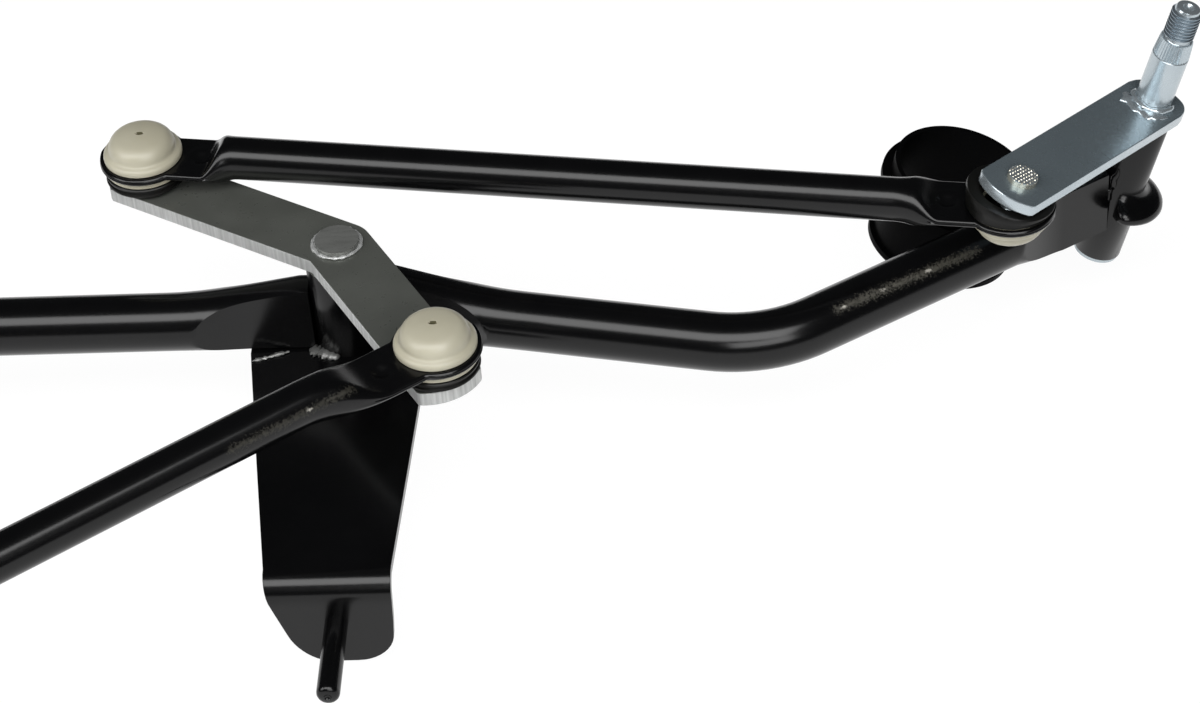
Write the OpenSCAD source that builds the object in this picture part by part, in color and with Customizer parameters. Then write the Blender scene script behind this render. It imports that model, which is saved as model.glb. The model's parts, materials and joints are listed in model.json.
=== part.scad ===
// Windscreen wiper linkage without its motor: a tube frame with a middle bellcrank,
// two wiper pivots, three ball-jointed links and a bracket with a locating pin.
// Lengths are millimetres. X runs along the frame, Y to the rear, Z up the bellcrank pivot.
// The origin is the root of the locating pin, on the front face of the bracket foot.

/* [Frame tubes] */
// Outside diameter of the frame tubes
tube_d = 19; // [17:0.5:21]
// Thickness of the tube ends where they are pressed flat
flat_t = 9; // [7:0.5:11]
// Length over which a tube changes from round to flat
press_run = 20; // [14:1:26]
// Length of the fully pressed part beside the bellcrank's pivot
inner_reach = 14; // [13:0.5:20]
// Length over which a frame tube widens toward the bellcrank's pivot
inner_run = 44; // [36:1:48]
// Distance from a pivot axis to where the tube is fully flat
press_reach = 26; // [22:1:30]
// Bend radius at the tube axis
bend_r = 45; // [35:1:55]
// Right wiper pivot, distance to the right of the bellcrank pivot
right_pivot_x = 252; // [245:1:262]
// Right wiper pivot, distance behind the bellcrank pivot
right_pivot_y = 52.3; // [48:0.1:56]
// Corner of the right tube, distance to the right
right_bend_x = 135; // [125:1:145]
// Corner of the right tube, distance behind the bellcrank pivot
right_bend_y = -22.6; // [-26:0.1:-18]
// Offset of the right tube's inner end behind the bellcrank pivot
right_start_y = 5.5; // [3:0.1:7]
// Left wiper pivot, distance to the left of the bellcrank pivot
left_pivot_x = 400; // [385:1:415]
// Left wiper pivot, distance behind the bellcrank pivot
left_pivot_y = 52.3; // [48:0.1:56]
// Corner of the left tube, distance to the left
left_bend_x = 310; // [300:1:320]
// Corner of the left tube, distance behind the bellcrank pivot
left_bend_y = -1.5; // [-5:0.1:2]
// Offset of the left tube's inner end behind the bellcrank pivot
left_start_y = -2; // [-4:0.1:2]

/* [Centre pivot] */
// Height of the centre pivot housing
housing_h = 32; // [28:0.5:36]
// Outside diameter of the centre pivot housing
center_housing_d = 22; // [21:0.5:24]
// Diameter of the centre pivot pin
center_pin_d = 14; // [12:0.5:15]
// Wall of every bush
bush_wall = 1; // [0.8:0.1:1.2]
// Length of a centre bush
center_bush_l = 12; // [9:0.5:14]
// Thickness of the thrust washers
washer_t = 1.4; // [1:0.1:2]

/* [Bracket] */
// Thickness of the bracket plate
plate_t = 3; // [2:0.5:4]
// Width of the bracket at the frame
bracket_rear_w = 59.5; // [54:0.5:66]
// Width of the bracket at the fold
bracket_front_w = 39; // [36:1:44]
// Distance of the foot's front face ahead of the bellcrank pivot
bracket_reach = 114; // [105:1:122]
// Distance of the plate's rear edge behind the bellcrank pivot
bracket_rear = 15; // [13:0.5:18]
// Inside radius of the fold
fold_r = 3; // [2:0.5:5]
// Depth of the foot below the plate's top face
foot_drop = 33; // [30:1:38]
// Width of the foot's lower edge between its corners
foot_low_w = 29; // [27:0.5:31]
// Corner radius of the foot
foot_corner_r = 9; // [6:0.5:11]
// Shift of the bracket's front half to the right
bracket_shift = 1.6; // [0:0.1:3]
// Shift of the bracket's rear half to the left
rear_shift = 2.2; // [0:0.1:3]
// Diameter of the locating pin
locating_pin_d = 7.2; // [6:0.1:8]
// Length of the locating pin
locating_pin_l = 30; // [26:1:36]
// Depth of the locating pin's axis below the plate's top face
pin_drop = 17; // [15:0.5:19]
// Side place of the locating pin
pin_x = 3.2; // [0:0.1:6]

/* [Bellcrank] */
// Thickness of the bellcrank
bell_t = 5; // [4:0.5:6]
// Width of the bellcrank's arms
bell_w = 22; // [20:0.5:24]
// Length of the arm that drives the right link
right_arm_l = 75.6; // [72:0.1:79]
// Direction of the arm that drives the right link
right_arm_deg = 150.2; // [147:0.1:153]
// Length of the arm that the drive link pushes
drive_arm_l = 70.2; // [67:0.1:73]
// Direction of the arm that the drive link pushes
drive_arm_deg = -59; // [-62:0.5:-56]
// How far an arm reaches past its ball
arm_over = 11; // [10:0.5:13]
// Radius of the arms' rounded ends
arm_end_r = 18; // [14:1:24]

/* [Ball joints] */
// Diameter of the balls
ball_d = 12; // [11:0.1:13]
// Diameter of the ball stud's neck
neck_d = 7; // [6:0.1:8]
// Diameter of the ball in the right crank, which has play in its socket
crank_ball_d = 9; // [8.6:0.1:9.4]
// Sideways play of the ball in the right crank's socket
socket_play = 4.4; // [4.2:0.1:5]
// Running clearance of a ball in its socket, on the radius
ball_clear = 0.05; // [0.03:0.01:0.1]
// Height of the links above the bellcrank's top face
link_h = 8; // [7.5:0.1:9]
// Drop of the links below a crank's lower face
crank_hang = 7.3; // [7:0.1:8]
// Gap between a seal and the plate that it faces
seal_gap = 1.2; // [1.1:0.05:1.5]
// Diameter of the dome's rim
rim_d = 25.6; // [25:0.1:27]
// Height of the dome above the link's eye
dome_h = 8.7; // [8.5:0.1:9.5]
// Diameter of the dome above its rim
dome_d = 22; // [21.4:0.1:23]
// Thickness of the socket's lower flange
flange_t = 2.4; // [2:0.1:2.8]
// Diameter of the rubber seals
seal_d = 26.4; // [25:0.1:27]
// Diameter of the tall seal under the right crank
tall_seal_d = 28; // [27:0.1:28.2]

/* [Links] */
// Outside diameter of the link tubes
link_d = 14; // [13:0.5:15]
// Wall of the link tubes, which is pressed double at the eyes
link_wall = 1.2; // [1:0.1:1.5]
// Diameter of the eyes
eye_d = 28.6; // [28.4:0.1:30]
// Length of the flat neck beside an eye
flat_neck_l = 22; // [20:0.5:26]
// Length over which a link changes from flat to round
link_run = 14; // [12:1:20]
// Height of the right and left link tubes above the middle of their eyes
link_over = 2; // [1:0.1:3]
// Height of the drive link's tube above the middle of its eyes
drive_over = 4.4; // [3.5:0.1:4.8]
// Length of the drive link
drive_link_l = 245; // [235:1:260]
// Direction of the drive link
drive_link_deg = 217; // [214:0.5:220]
// Height between the two sockets that share the motor's ball
motor_stack = 24; // [22:0.5:28]

/* [Wiper pivots] */
// Outward tilt of the wiper pivots
pivot_tilt = 15; // [13:0.5:16]
// Height of a crank's top face above the frame tube, along the pivot
crank_rise = 36.9; // [35:0.1:39]
// Thickness of the cranks
crank_t = 4; // [3.5:0.1:5]
// Width of the cranks
crank_w = 21.5; // [20:0.5:23]
// Length of the cranks
crank_l = 72; // [70:0.1:74]
// Direction of the right crank in its own plane
right_crank_deg = 228.9; // [226:0.1:231]
// Direction of the left crank in its own plane, before it is mirrored
left_crank_deg = 200; // [196:0.5:204]
// Shaft diameter above the crank
shaft_d = 12; // [11:0.1:13]
// Journal diameter in the housing
journal_d = 10; // [9:0.1:10.5]
// Thread diameter at the shaft's tip
thread_d = 10; // [8:0.1:10.5]
// Height of the plain part of the shaft
shaft_plain_h = 19; // [17:0.1:21]
// Height of the serrated cone
serration_h = 6.5; // [5.5:0.1:8]
// Height of the threaded part
thread_h = 12; // [11:0.5:14]
// Outside diameter of the pivot housings
pivot_housing_d = 16; // [15:0.5:18]
// Length of the pivot housings
pivot_housing_l = 57; // [53:0.5:60]
// Length of a pivot bush
pivot_bush_l = 14; // [10:0.5:18]
// Radius of the lip round the pivot housing
lip_r = 15.6; // [14:0.1:17]
// Thickness of the lip
lip_t = 4.4; // [3.5:0.1:5]
// Depth of the lip's lower face below the frame tube's axis, along the pivot
lip_drop = 4.1; // [3:0.1:6]
// Direction of the lip's middle in the housing's own plane
lip_deg = -12; // [-16:1:-4]

/* [Mounting collars] */
// Outside diameter of a collar
collar_d = 46; // [44:0.5:48]
// Wall of a collar
collar_wall = 1.6; // [1.2:0.1:2.5]
// Height of a collar
collar_h = 31; // [26:1:36]
// Distance of a collar from its pivot, along the tube
collar_along = 40; // [38:0.5:44]
// How far the collar's flanges stand out
collar_flange = 3; // [2:0.5:4]
// Distance of the upper flange below the collar's rim
collar_flange_drop = 6; // [4:0.5:9]

/* [Hidden] */
$fn = 64;
// Gap left for a weld or a light press fit between fixed pieces
fit = 0.02;
weld_gap = 0.1;
// Running clearance of a journal in its bush, on the radius
run_clear = 0.05;
// Axial play of a washer or clip
axial_play = 0.1;
hull_fn = 32;
thin = 0.1;
// How far a plain form runs into the pressed transition beside it
lap = 0.02;
clip_t = 1.2;
groove_in = 1;
flange_thick = 2;
head_d = 9.3;
head_h = 2;
rim_h = 2;
play_flange_t = 0.8;
// Gap between the tall seal and the right crank
tall_gap = 1.3;
ball_rise = 2;
plate_color = [0.07, 0.07, 0.08];
zinc_color = [0.72, 0.75, 0.78];
nylon_color = [0.84, 0.81, 0.72];
rubber_color = [0.05, 0.05, 0.05];
bronze_color = [0.55, 0.42, 0.25];

// Heights, measured from the bellcrank's top face at its pivot
plate_top = -(bell_t + washer_t + axial_play + housing_h);
tube_z = plate_top + weld_gap + tube_d / 2;
flat_h = flat_t + PI * (tube_d - flat_t) / 2;
pin_root = [pin_x, -bracket_reach, plate_top - pin_drop];
shank_d = locating_pin_d - 1;

// Both wiper pivots are worked out as if on the right, then the left one is mirrored
pivot_at = [[right_pivot_x, right_pivot_y, tube_z], [left_pivot_x, left_pivot_y, tube_z]];
bend_at = [[right_bend_x, right_bend_y, tube_z], [left_bend_x, left_bend_y, tube_z]];
start_at = [[0, right_start_y, tube_z], [0, left_start_y, tube_z]];
pivot_axis = [sin(pivot_tilt), 0, cos(pivot_tilt)];
function mirrored(p) = [-p.x, p.y, p.z];
function tilted(p) = [
    p.x * cos(pivot_tilt) + p.z * sin(pivot_tilt),
    p.y,
    p.z * cos(pivot_tilt) - p.x * sin(pivot_tilt)
];
function unit(v) = v / norm(v);
function heading(v) = atan2(v.y, v.x);
function run_dir(side) = unit(bend_at[side] - start_at[side]);
function rise_dir(side) = unit(pivot_at[side] - bend_at[side]);

// Link ends, with the eye's middle plane as the height
eye_t = 2 * link_wall;
crank_deg = [right_crank_deg, left_crank_deg];
function crank_ball(side) = crank_l * [cos(crank_deg[side]), sin(crank_deg[side]), 0];
function crank_eye(side) = crank_ball(side) + [0, 0, crank_rise - crank_t - crank_hang];
right_ball = pivot_at[0] + tilted(crank_eye(0) - [0, 0, ball_rise]);
function link_up(a, b) = let (d = unit(b - a), s = unit(cross(up, d))) cross(d, s);
right_arm_end = right_arm_l * [cos(right_arm_deg), sin(right_arm_deg), 0];
drive_arm_end = drive_arm_l * [cos(drive_arm_deg), sin(drive_arm_deg), 0];
lift = [0, 0, link_h];
motor_high = drive_arm_end + lift + drive_link_l * [cos(drive_link_deg), sin(drive_link_deg), 0];
motor_low = motor_high - [0, 0, motor_stack];
up = [0, 0, 1];
right_eye = right_ball + [0, 0, ball_rise];
right_link = [right_arm_end + lift, right_eye, up, link_up(right_arm_end + lift, right_eye)];
left_link = [mirrored(pivot_at[1] + tilted(crank_eye(1))), motor_low, mirrored(pivot_axis), up];
drive_link = [drive_arm_end + lift, motor_high, up, up];

// Socket sizes: a snug one, and the one with play
socket_r = ball_d / 2 + ball_clear;
mouth_r = 0.43 * ball_d;
snug_hole_r = socket_r + 3.2;
play_bore_r = crank_ball_d / 2 + socket_play;
play_hole_r = play_bore_r + 1.1;
bell_seal_h = link_h - seal_gap - flange_t - eye_t / 2;
crank_seal_h = crank_hang - seal_gap - flange_t - eye_t / 2;

// Moves a piece from the bellcrank's pivot to the locating pin
module placed() {
    translate(-pin_root) children();
}

// Puts a piece on the right wiper pivot, or mirrored on the left one; z = 0 is the crank's top
module on_pivot(side) {
    mirror([side, 0, 0])
        translate(pivot_at[side]) rotate([0, pivot_tilt, 0]) translate([0, 0, crank_rise]) children();
}

// Turns that lay a link's X axis from its first end to its second
function link_turn(l) = [0, -asin((l[1].z - l[0].z) / norm(l[1] - l[0])), heading(l[1] - l[0])];
// An axis as seen in a link's own frame, and the turn that lays an eye on it
function seen(l, a) =
    let (d = unit(l[1] - l[0]), s = unit(cross(up, d)), t = cross(d, s)) [a * d, a * s, a * t];
function eye_turn(l, a) = let (v = seen(l, a)) [-asin(v.y), atan2(v.x, v.z), 0];

module along_link(l) {
    translate(l[0]) rotate(link_turn(l)) children();
}
// end 0 is the link's first eye and end 1 its second
module at_eye(l, end) {
    translate(l[end]) rotate(link_turn(l)) rotate(eye_turn(l, l[2 + end])) children();
}

module ring(d_out, d_in, h) {
    difference() {
        cylinder(d = d_out, h = h);
        translate([0, 0, -1]) cylinder(d = d_in, h = h + 2);
    }
}

// Outline of a tube end that is pressed flat, standing on edge
module pressed_outline(more) {
    square([flat_h - flat_t, flat_t + more], center = true);
    for (s = [-1, 1]) translate([s * (flat_h - flat_t) / 2, 0]) circle(d = flat_t + more);
}

// Pressed end of a frame tube: X points from the round tube to the pivot, where it ends at x = 0
module pressed_end(rise, reach, run) {
    translate([-reach - lap, 0, rise]) rotate([0, 90, 0])
        linear_extrude(reach + lap) pressed_outline(0);
    hull() {
        translate([-reach - thin, 0, rise]) rotate([0, 90, 0])
            linear_extrude(thin) pressed_outline(2 * thin, $fn = hull_fn);
        translate([-reach - run, 0, 0]) rotate([0, 90, 0])
            cylinder(d = tube_d + 2 * thin, h = thin, $fn = hull_fn);
    }
}

module straight_tube(from, to) {
    translate(from) rotate([0, 90, heading(to - from)]) cylinder(d = tube_d, h = norm(to - from));
}

// Frame tube from the centre pivot round its bend to a wiper pivot, before its ends are coped
module tube_form(side) {
    run = run_dir(side);
    rise = rise_dir(side);
    bend = heading(rise) - heading(run);
    set_back = bend_r * tan(bend / 2);
    first = bend_at[side] - set_back * run;
    second = bend_at[side] + set_back * rise;
    inner = start_at[side] + (inner_reach + inner_run - lap) * run;
    outer = pivot_at[side] - (press_reach + press_run - lap) * rise;
    straight_tube(inner, first);
    straight_tube(second, outer);
    // The bend is a hair thinner and runs half a millimetre into the straight parts
    past = 0.5 / bend_r * 180 / PI;
    translate(first + bend_r * [-run.y, run.x, 0])
        rotate([0, 0, heading(run) - 90 - past])
        rotate_extrude(angle = bend + 2 * past) translate([bend_r, 0]) circle(d = tube_d - 0.06);
    translate(start_at[side]) rotate([0, 0, heading(run) + 180])
        pressed_end(plate_top + weld_gap + flat_h / 2 - tube_z, inner_reach, inner_run);
    translate(pivot_at[side]) rotate([0, 0, heading(rise)]) pressed_end(0, press_reach, press_run);
}

module frame_tube(side) {
    difference() {
        mirror([side, 0, 0]) tube_form(side);
        translate([0, 0, plate_top - housing_h])
            cylinder(d = center_housing_d + 2 * weld_gap, h = 3 * housing_h);
        // Everything past the housing's middle belongs to the other tube
        translate([side == 0 ? -2 * tube_d : 0, -2 * tube_d, plate_top - tube_d])
            cube([2 * tube_d, 4 * tube_d, 4 * tube_d]);
        on_pivot(side) translate([0, 0, -2 * pivot_housing_l])
            cylinder(d = pivot_housing_d + 2 * weld_gap, h = 3 * pivot_housing_l);
        // The pressed end stops at the pivot's axis
        on_pivot(side) rotate([0, 0, heading(rise_dir(side))])
            translate([0, -tube_d, -2 * pivot_housing_l])
            cube([2 * tube_d, 2 * tube_d, 3 * pivot_housing_l]);
    }
}
module right_frame_tube() { color(plate_color) frame_tube(0); }
module left_frame_tube() { color(plate_color) frame_tube(1); }

// Bracket seen from above: it narrows from the frame to the fold
module bracket_outline() {
    fold_y = -bracket_reach + fold_r + plate_t;
    polygon([
        [-rear_shift - bracket_rear_w / 2, bracket_rear],
        [-rear_shift + bracket_rear_w / 2, bracket_rear],
        [-rear_shift + bracket_rear_w / 2 - 2, -bracket_rear],
        [bracket_shift + bracket_front_w / 2, fold_y],
        [bracket_shift - bracket_front_w / 2, fold_y],
        [-rear_shift - bracket_rear_w / 2, -bracket_rear / 2]
    ]);
}
// Foot seen from the front, with z = 0 at the plate's top face
module foot_outline() {
    low = -foot_drop + foot_corner_r;
    hull() {
        translate([bracket_shift - bracket_front_w / 2, -fold_r - plate_t - thin])
            square([bracket_front_w, thin]);
        for (s = [-1, 1])
            translate([bracket_shift + 2 + s * (foot_low_w / 2 - foot_corner_r), low])
                circle(r = foot_corner_r, $fn = hull_fn);
    }
}
module center_bracket() {
    bend_out = fold_r + plate_t;
    color(plate_color) difference() {
        union() {
            translate([0, 0, plate_top - plate_t]) linear_extrude(plate_t) bracket_outline();
            // Quarter-round fold, then the foot
            translate([bracket_shift - bracket_front_w / 2, -bracket_reach + bend_out, plate_top - bend_out])
                rotate([0, 90, 0]) linear_extrude(bracket_front_w)
                intersection() {
                    difference() {
                        circle(r = bend_out);
                        circle(r = fold_r);
                    }
                    translate([-bend_out, -bend_out]) square(bend_out);
                }
            translate([0, -bracket_reach + plate_t, plate_top])
                rotate([90, 0, 0]) linear_extrude(plate_t) foot_outline();
        }
        translate([0, 0, plate_top - 2 * plate_t])
            cylinder(d = center_pin_d + 1, h = 3 * plate_t);
        translate(pin_root + [0, 2 * plate_t, 0]) rotate([90, 0, 0])
            cylinder(d = shank_d + 2 * fit, h = 3 * plate_t);
    }
}
module locating_pin() {
    tip = locating_pin_d / 4;
    color(plate_color) translate(pin_root + [0, plate_t, 0]) rotate([90, 0, 0]) {
        cylinder(d = shank_d, h = plate_t + tip);
        translate([0, 0, plate_t]) cylinder(d = locating_pin_d, h = locating_pin_l - tip);
        translate([0, 0, plate_t + locating_pin_l - tip])
            cylinder(d1 = locating_pin_d, d2 = locating_pin_d - 2 * tip, h = tip);
    }
}

// Centre pivot: the housing stands on the bracket and carries the pin in two bushes
center_bore_d = center_pin_d + 2 * (run_clear + bush_wall);
module center_bush() {
    ring(center_bore_d - 2 * fit, center_pin_d + 2 * run_clear, center_bush_l);
}
module center_pivot_housing() {
    color(plate_color) translate([0, 0, plate_top]) ring(center_housing_d, center_bore_d, housing_h);
}
module center_upper_bush() {
    color(bronze_color) translate([0, 0, plate_top + housing_h - center_bush_l]) center_bush();
}
module center_lower_bush() {
    color(bronze_color) translate([0, 0, plate_top]) center_bush();
}
module center_pivot_pin() {
    clip_z = plate_top - plate_t - axial_play - clip_t;
    tail = clip_z - 2;
    color(zinc_color) difference() {
        translate([0, 0, tail]) cylinder(d = center_pin_d, h = head_h - tail);
        translate([0, 0, clip_z])
            ring(2 * center_pin_d, center_pin_d - 2 * groove_in, clip_t);
    }
}
module center_thrust_washer() {
    color(zinc_color) translate([0, 0, -bell_t - washer_t])
        ring(center_housing_d, center_pin_d + 2 * fit, washer_t);
}
module center_retaining_clip() {
    color(zinc_color) translate([0, 0, plate_top - plate_t - axial_play - clip_t])
        ring(center_housing_d, center_pin_d - 2 * groove_in + 2 * fit, clip_t);
}

// Flat arm from the origin along X, with ends that round over a wide radius
module arm_outline(l, w) {
    intersection() {
        translate([0, -w / 2]) square([l + arm_over, w]);
        translate([l + arm_over - arm_end_r, 0]) circle(r = arm_end_r);
    }
    translate([0, -w / 2]) square([l, w]);
}
module bellcrank_plate() {
    color(zinc_color) translate([0, 0, -bell_t]) linear_extrude(bell_t) difference() {
        union() {
            rotate(right_arm_deg) arm_outline(right_arm_l, bell_w);
            rotate(drive_arm_deg) arm_outline(drive_arm_l, bell_w);
            circle(d = bell_w);
        }
        circle(d = center_pin_d + 2 * fit);
        translate(right_arm_end) circle(d = neck_d + 2 * fit);
        translate(drive_arm_end) circle(d = neck_d + 2 * fit);
    }
}

// Ball stud riveted through a plate whose face toward the ball is z = 0
module ball_stud(d, ball_h, through) {
    sphere(d = d);
    translate([0, 0, -ball_h - through]) cylinder(d = min(neck_d, 0.65 * d), h = ball_h + through);
    translate([0, 0, -ball_h - through - head_h]) cylinder(d = head_d, h = head_h);
}
module bell_stud(place) {
    translate(place + lift + [0, 0, ball_rise]) ball_stud(ball_d, link_h + ball_rise, bell_t);
}
module bellcrank_right_stud() { color(zinc_color) bell_stud(right_arm_end); }
module bellcrank_drive_stud() { color(zinc_color) bell_stud(drive_arm_end); }

// Half of a link: pressed double eye with a flat neck, from the eye's centre along X
module eye_form() {
    lip = 0.4;
    cylinder(d = eye_d - 2 * lip, h = eye_t, center = true);
    for (s = [-1, 1]) translate([0, 0, s * (eye_t + lip) / 4])
        cylinder(d = eye_d, h = (eye_t - lip) / 2, center = true);
}
link_flat_w = eye_t + PI * (link_d - eye_t) / 2;
neck_t = eye_t - thin;
module flat_neck() {
    translate([0, -link_flat_w / 2, -neck_t / 2]) cube([flat_neck_l, link_flat_w, neck_t]);
}
module neck_edge() {
    translate([flat_neck_l - lap, -(link_flat_w + thin) / 2, -(neck_t + thin) / 2])
        cube([thin, link_flat_w + thin, neck_t + thin]);
}
module link_form(l, over, hole_0, hole_1) {
    len = norm(l[1] - l[0]);
    round_from = flat_neck_l + link_run;
    turns = [eye_turn(l, l[2]), eye_turn(l, l[3])];
    along_link(l) difference() {
        union() {
            translate([round_from - lap, 0, over]) rotate([0, 90, 0])
                cylinder(d = link_d, h = len - 2 * round_from + 2 * lap);
            for (end = [0, 1]) {
                translate([end * len, 0, 0]) rotate(turns[end]) mirror([end, 0, 0]) {
                    eye_form();
                    flat_neck();
                }
                hull() {
                    translate([end * len, 0, 0]) rotate(turns[end]) mirror([end, 0, 0]) neck_edge();
                    translate([end == 0 ? round_from - thin : len - round_from, 0, over])
                        rotate([0, 90, 0])
                        cylinder(d = link_d + 2 * thin, h = thin, $fn = hull_fn);
                }
            }
        }
        rotate(turns[0]) cylinder(r = hole_0, h = 3 * eye_t, center = true);
        translate([len, 0, 0]) rotate(turns[1]) cylinder(r = hole_1, h = 3 * eye_t, center = true);
    }
}
module right_link_tube() { color(plate_color) link_form(right_link, link_over, snug_hole_r, play_hole_r); }
module drive_link_tube() { color(plate_color) link_form(drive_link, drive_over, snug_hole_r, snug_hole_r); }
module left_link_tube() { color(plate_color) link_form(left_link, link_over, snug_hole_r, snug_hole_r); }

// Nylon socket round an eye at z = 0: dome above the eye, flange below it
module dome_form(hole_r, flange) {
    shoulder = 3.6;
    flat_r = dome_d / 2 - shoulder;
    crown = 0.9;
    crown_r = (flat_r * flat_r + crown * crown) / (2 * crown);
    translate([0, 0, eye_t / 2]) rotate_extrude() intersection() {
        union() {
            square([rim_d / 2, rim_h]);
            square([dome_d / 2, dome_h - crown - shoulder]);
            translate([flat_r, dome_h - crown - shoulder]) circle(r = shoulder);
            square([flat_r, dome_h - crown]);
            intersection() {
                translate([0, dome_h - crown_r]) circle(r = crown_r);
                square([flat_r, dome_h + 1]);
            }
        }
        square([rim_d / 2, dome_h + 1]);
    }
    translate([0, 0, -eye_t / 2 - thin]) cylinder(r = hole_r - fit, h = eye_t + 2 * thin);
    translate([0, 0, -eye_t / 2 - flange]) cylinder(d = rim_d, h = flange);
}
module gate_mark() {
    translate([0, 0, eye_t / 2 + dome_h]) sphere(r = 0.9);
}
module snug_socket() {
    color(nylon_color) difference() {
        dome_form(snug_hole_r, flange_t);
        translate([0, 0, ball_rise]) sphere(r = socket_r);
        translate([0, 0, ball_rise - ball_d]) cylinder(r = mouth_r, h = ball_d);
        gate_mark();
    }
}
// The opened pivot: a bore and a rounded roof, wide enough for the ball's sideways play
play_over = 1.2;
module play_socket() {
    color(nylon_color) difference() {
        dome_form(play_hole_r, play_flange_t);
        translate([0, 0, -eye_t - play_flange_t])
            cylinder(r = play_bore_r, h = eye_t + play_flange_t + ball_rise);
        translate([0, 0, ball_rise]) rotate_extrude() intersection() {
            union() {
                square([socket_play - play_over, crank_ball_d / 2 + play_over]);
                translate([socket_play - play_over, 0]) circle(r = crank_ball_d / 2 + play_over);
            }
            translate([0, -1]) square(2 * play_bore_r);
        }
        gate_mark();
    }
}
module seal(h, hole_r) {
    color(rubber_color) translate([0, 0, -eye_t / 2 - flange_t - h]) ring(seal_d, 2 * hole_r, h);
}
module flipped() {
    mirror([0, 0, 1]) children();
}
seal_hole_r = ball_d / 2 + 0.6;

module right_link_inner_socket() { at_eye(right_link, 0) snug_socket(); }
module right_link_inner_seal() { at_eye(right_link, 0) seal(bell_seal_h, seal_hole_r); }
module right_link_outer_socket() { at_eye(right_link, 1) flipped() play_socket(); }
// The tall seal is cut off parallel to the crank, which leans against the link
module right_link_outer_seal() {
    color(rubber_color) difference() {
        at_eye(right_link, 1) translate([0, 0, eye_t / 2 + play_flange_t])
            ring(tall_seal_d, 2 * play_bore_r + 1.6, 3 * crank_hang);
        on_pivot(0) translate([0, 0, -crank_t - tall_gap]) cylinder(r = 2 * crank_l, h = 5 * crank_hang);
    }
}
module drive_link_inner_socket() { at_eye(drive_link, 0) snug_socket(); }
module drive_link_inner_seal() { at_eye(drive_link, 0) seal(bell_seal_h, seal_hole_r); }
module drive_link_motor_socket() { at_eye(drive_link, 1) snug_socket(); }
module drive_link_motor_seal() { at_eye(drive_link, 1) seal(bell_seal_h, seal_hole_r); }
module left_link_outer_socket() { at_eye(left_link, 0) flipped() snug_socket(); }
module left_link_outer_seal() { at_eye(left_link, 0) flipped() seal(crank_seal_h, seal_hole_r); }
module left_link_motor_socket() { at_eye(left_link, 1) flipped() snug_socket(); }
module left_link_motor_seal() { at_eye(left_link, 1) flipped() seal(crank_seal_h, seal_hole_r); }

// Wiper pivot, with z = 0 at the crank's top face
pivot_bore_d = journal_d + 2 * (run_clear + bush_wall);
housing_top = -crank_t - washer_t - axial_play;
housing_foot = housing_top - pivot_housing_l;
pivot_clip_z = housing_foot - axial_play - clip_t;
module pivot_housing(side) {
    color(plate_color) on_pivot(side) translate([0, 0, housing_foot])
        ring(pivot_housing_d, pivot_bore_d, pivot_housing_l);
}
// Rounded lip on the housing's outer side, away from the tube
module housing_lip(side) {
    edge = lip_t / 2 - thin;
    color(plate_color) on_pivot(side) difference() {
        translate([0, 0, -crank_rise - lip_drop]) rotate_extrude() difference() {
            union() {
                square([lip_r - edge, lip_t]);
                translate([lip_r - edge, lip_t / 2]) circle(r = edge);
            }
            translate([-lip_r, -1]) square([lip_r + pivot_housing_d / 2 + weld_gap, lip_t + 2]);
        }
        rotate([0, 0, lip_deg]) translate([-2 * lip_r, -2 * lip_r, -2 * pivot_housing_l])
            cube([2 * lip_r + 2, 4 * lip_r, 3 * pivot_housing_l]);
    }
}
module pivot_bush(side, z) {
    color(bronze_color) on_pivot(side) translate([0, 0, z])
        ring(pivot_bore_d - 2 * fit, journal_d + 2 * run_clear, pivot_bush_l);
}
module crank_arm(side) {
    color(zinc_color) on_pivot(side) translate([0, 0, -crank_t]) linear_extrude(crank_t) difference() {
        rotate(crank_deg[side]) union() {
            arm_outline(crank_l, crank_w);
            translate([3, 0]) mirror([1, 0]) arm_outline(1, crank_w);
        }
        circle(d = journal_d + 2 * fit);
        translate(crank_ball(side))
            circle(d = min(neck_d, 0.65 * (side == 0 ? crank_ball_d : ball_d)) + 2 * fit);
    }
}
module pivot_shaft(side) {
    cone_top = shaft_plain_h + serration_h;
    tip = 1;
    color(zinc_color) on_pivot(side) difference() {
        union() {
            cylinder(d = shaft_d, h = shaft_plain_h);
            translate([0, 0, shaft_plain_h]) cylinder(d1 = shaft_d, d2 = thread_d + 1, h = serration_h);
            translate([0, 0, cone_top]) cylinder(d = thread_d, h = thread_h - tip);
            translate([0, 0, cone_top + thread_h - tip])
                cylinder(d1 = thread_d, d2 = thread_d - 2 * tip, h = tip);
            translate([0, 0, pivot_clip_z - 2]) cylinder(d = journal_d, h = 2 - pivot_clip_z);
        }
        translate([0, 0, pivot_clip_z]) ring(2 * journal_d, journal_d - 2 * groove_in, clip_t);
    }
}
module crank_stud(side, d) {
    color(zinc_color) on_pivot(side)
        translate(crank_ball(side) + [0, 0, -crank_t - crank_hang - ball_rise])
        flipped() ball_stud(d, crank_hang + ball_rise, crank_t);
}
module pivot_washer(side) {
    color(zinc_color) on_pivot(side) translate([0, 0, -crank_t - washer_t])
        ring(pivot_housing_d, journal_d + 2 * fit, washer_t);
}
module pivot_clip(side) {
    color(zinc_color) on_pivot(side) translate([0, 0, pivot_clip_z])
        ring(pivot_housing_d - 1, journal_d - 2 * groove_in + 2 * fit, clip_t);
}
upper_bush_z = housing_top - pivot_bush_l;
module right_pivot_housing() { pivot_housing(0); }
module right_housing_lip() { housing_lip(0); }
module right_upper_bush() { pivot_bush(0, upper_bush_z); }
module right_lower_bush() { pivot_bush(0, housing_foot); }
module right_crank_arm() { crank_arm(0); }
module right_pivot_shaft() { pivot_shaft(0); }
module right_crank_stud() { crank_stud(0, crank_ball_d); }
module right_thrust_washer() { pivot_washer(0); }
module right_retaining_clip() { pivot_clip(0); }
module left_pivot_housing() { pivot_housing(1); }
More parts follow.
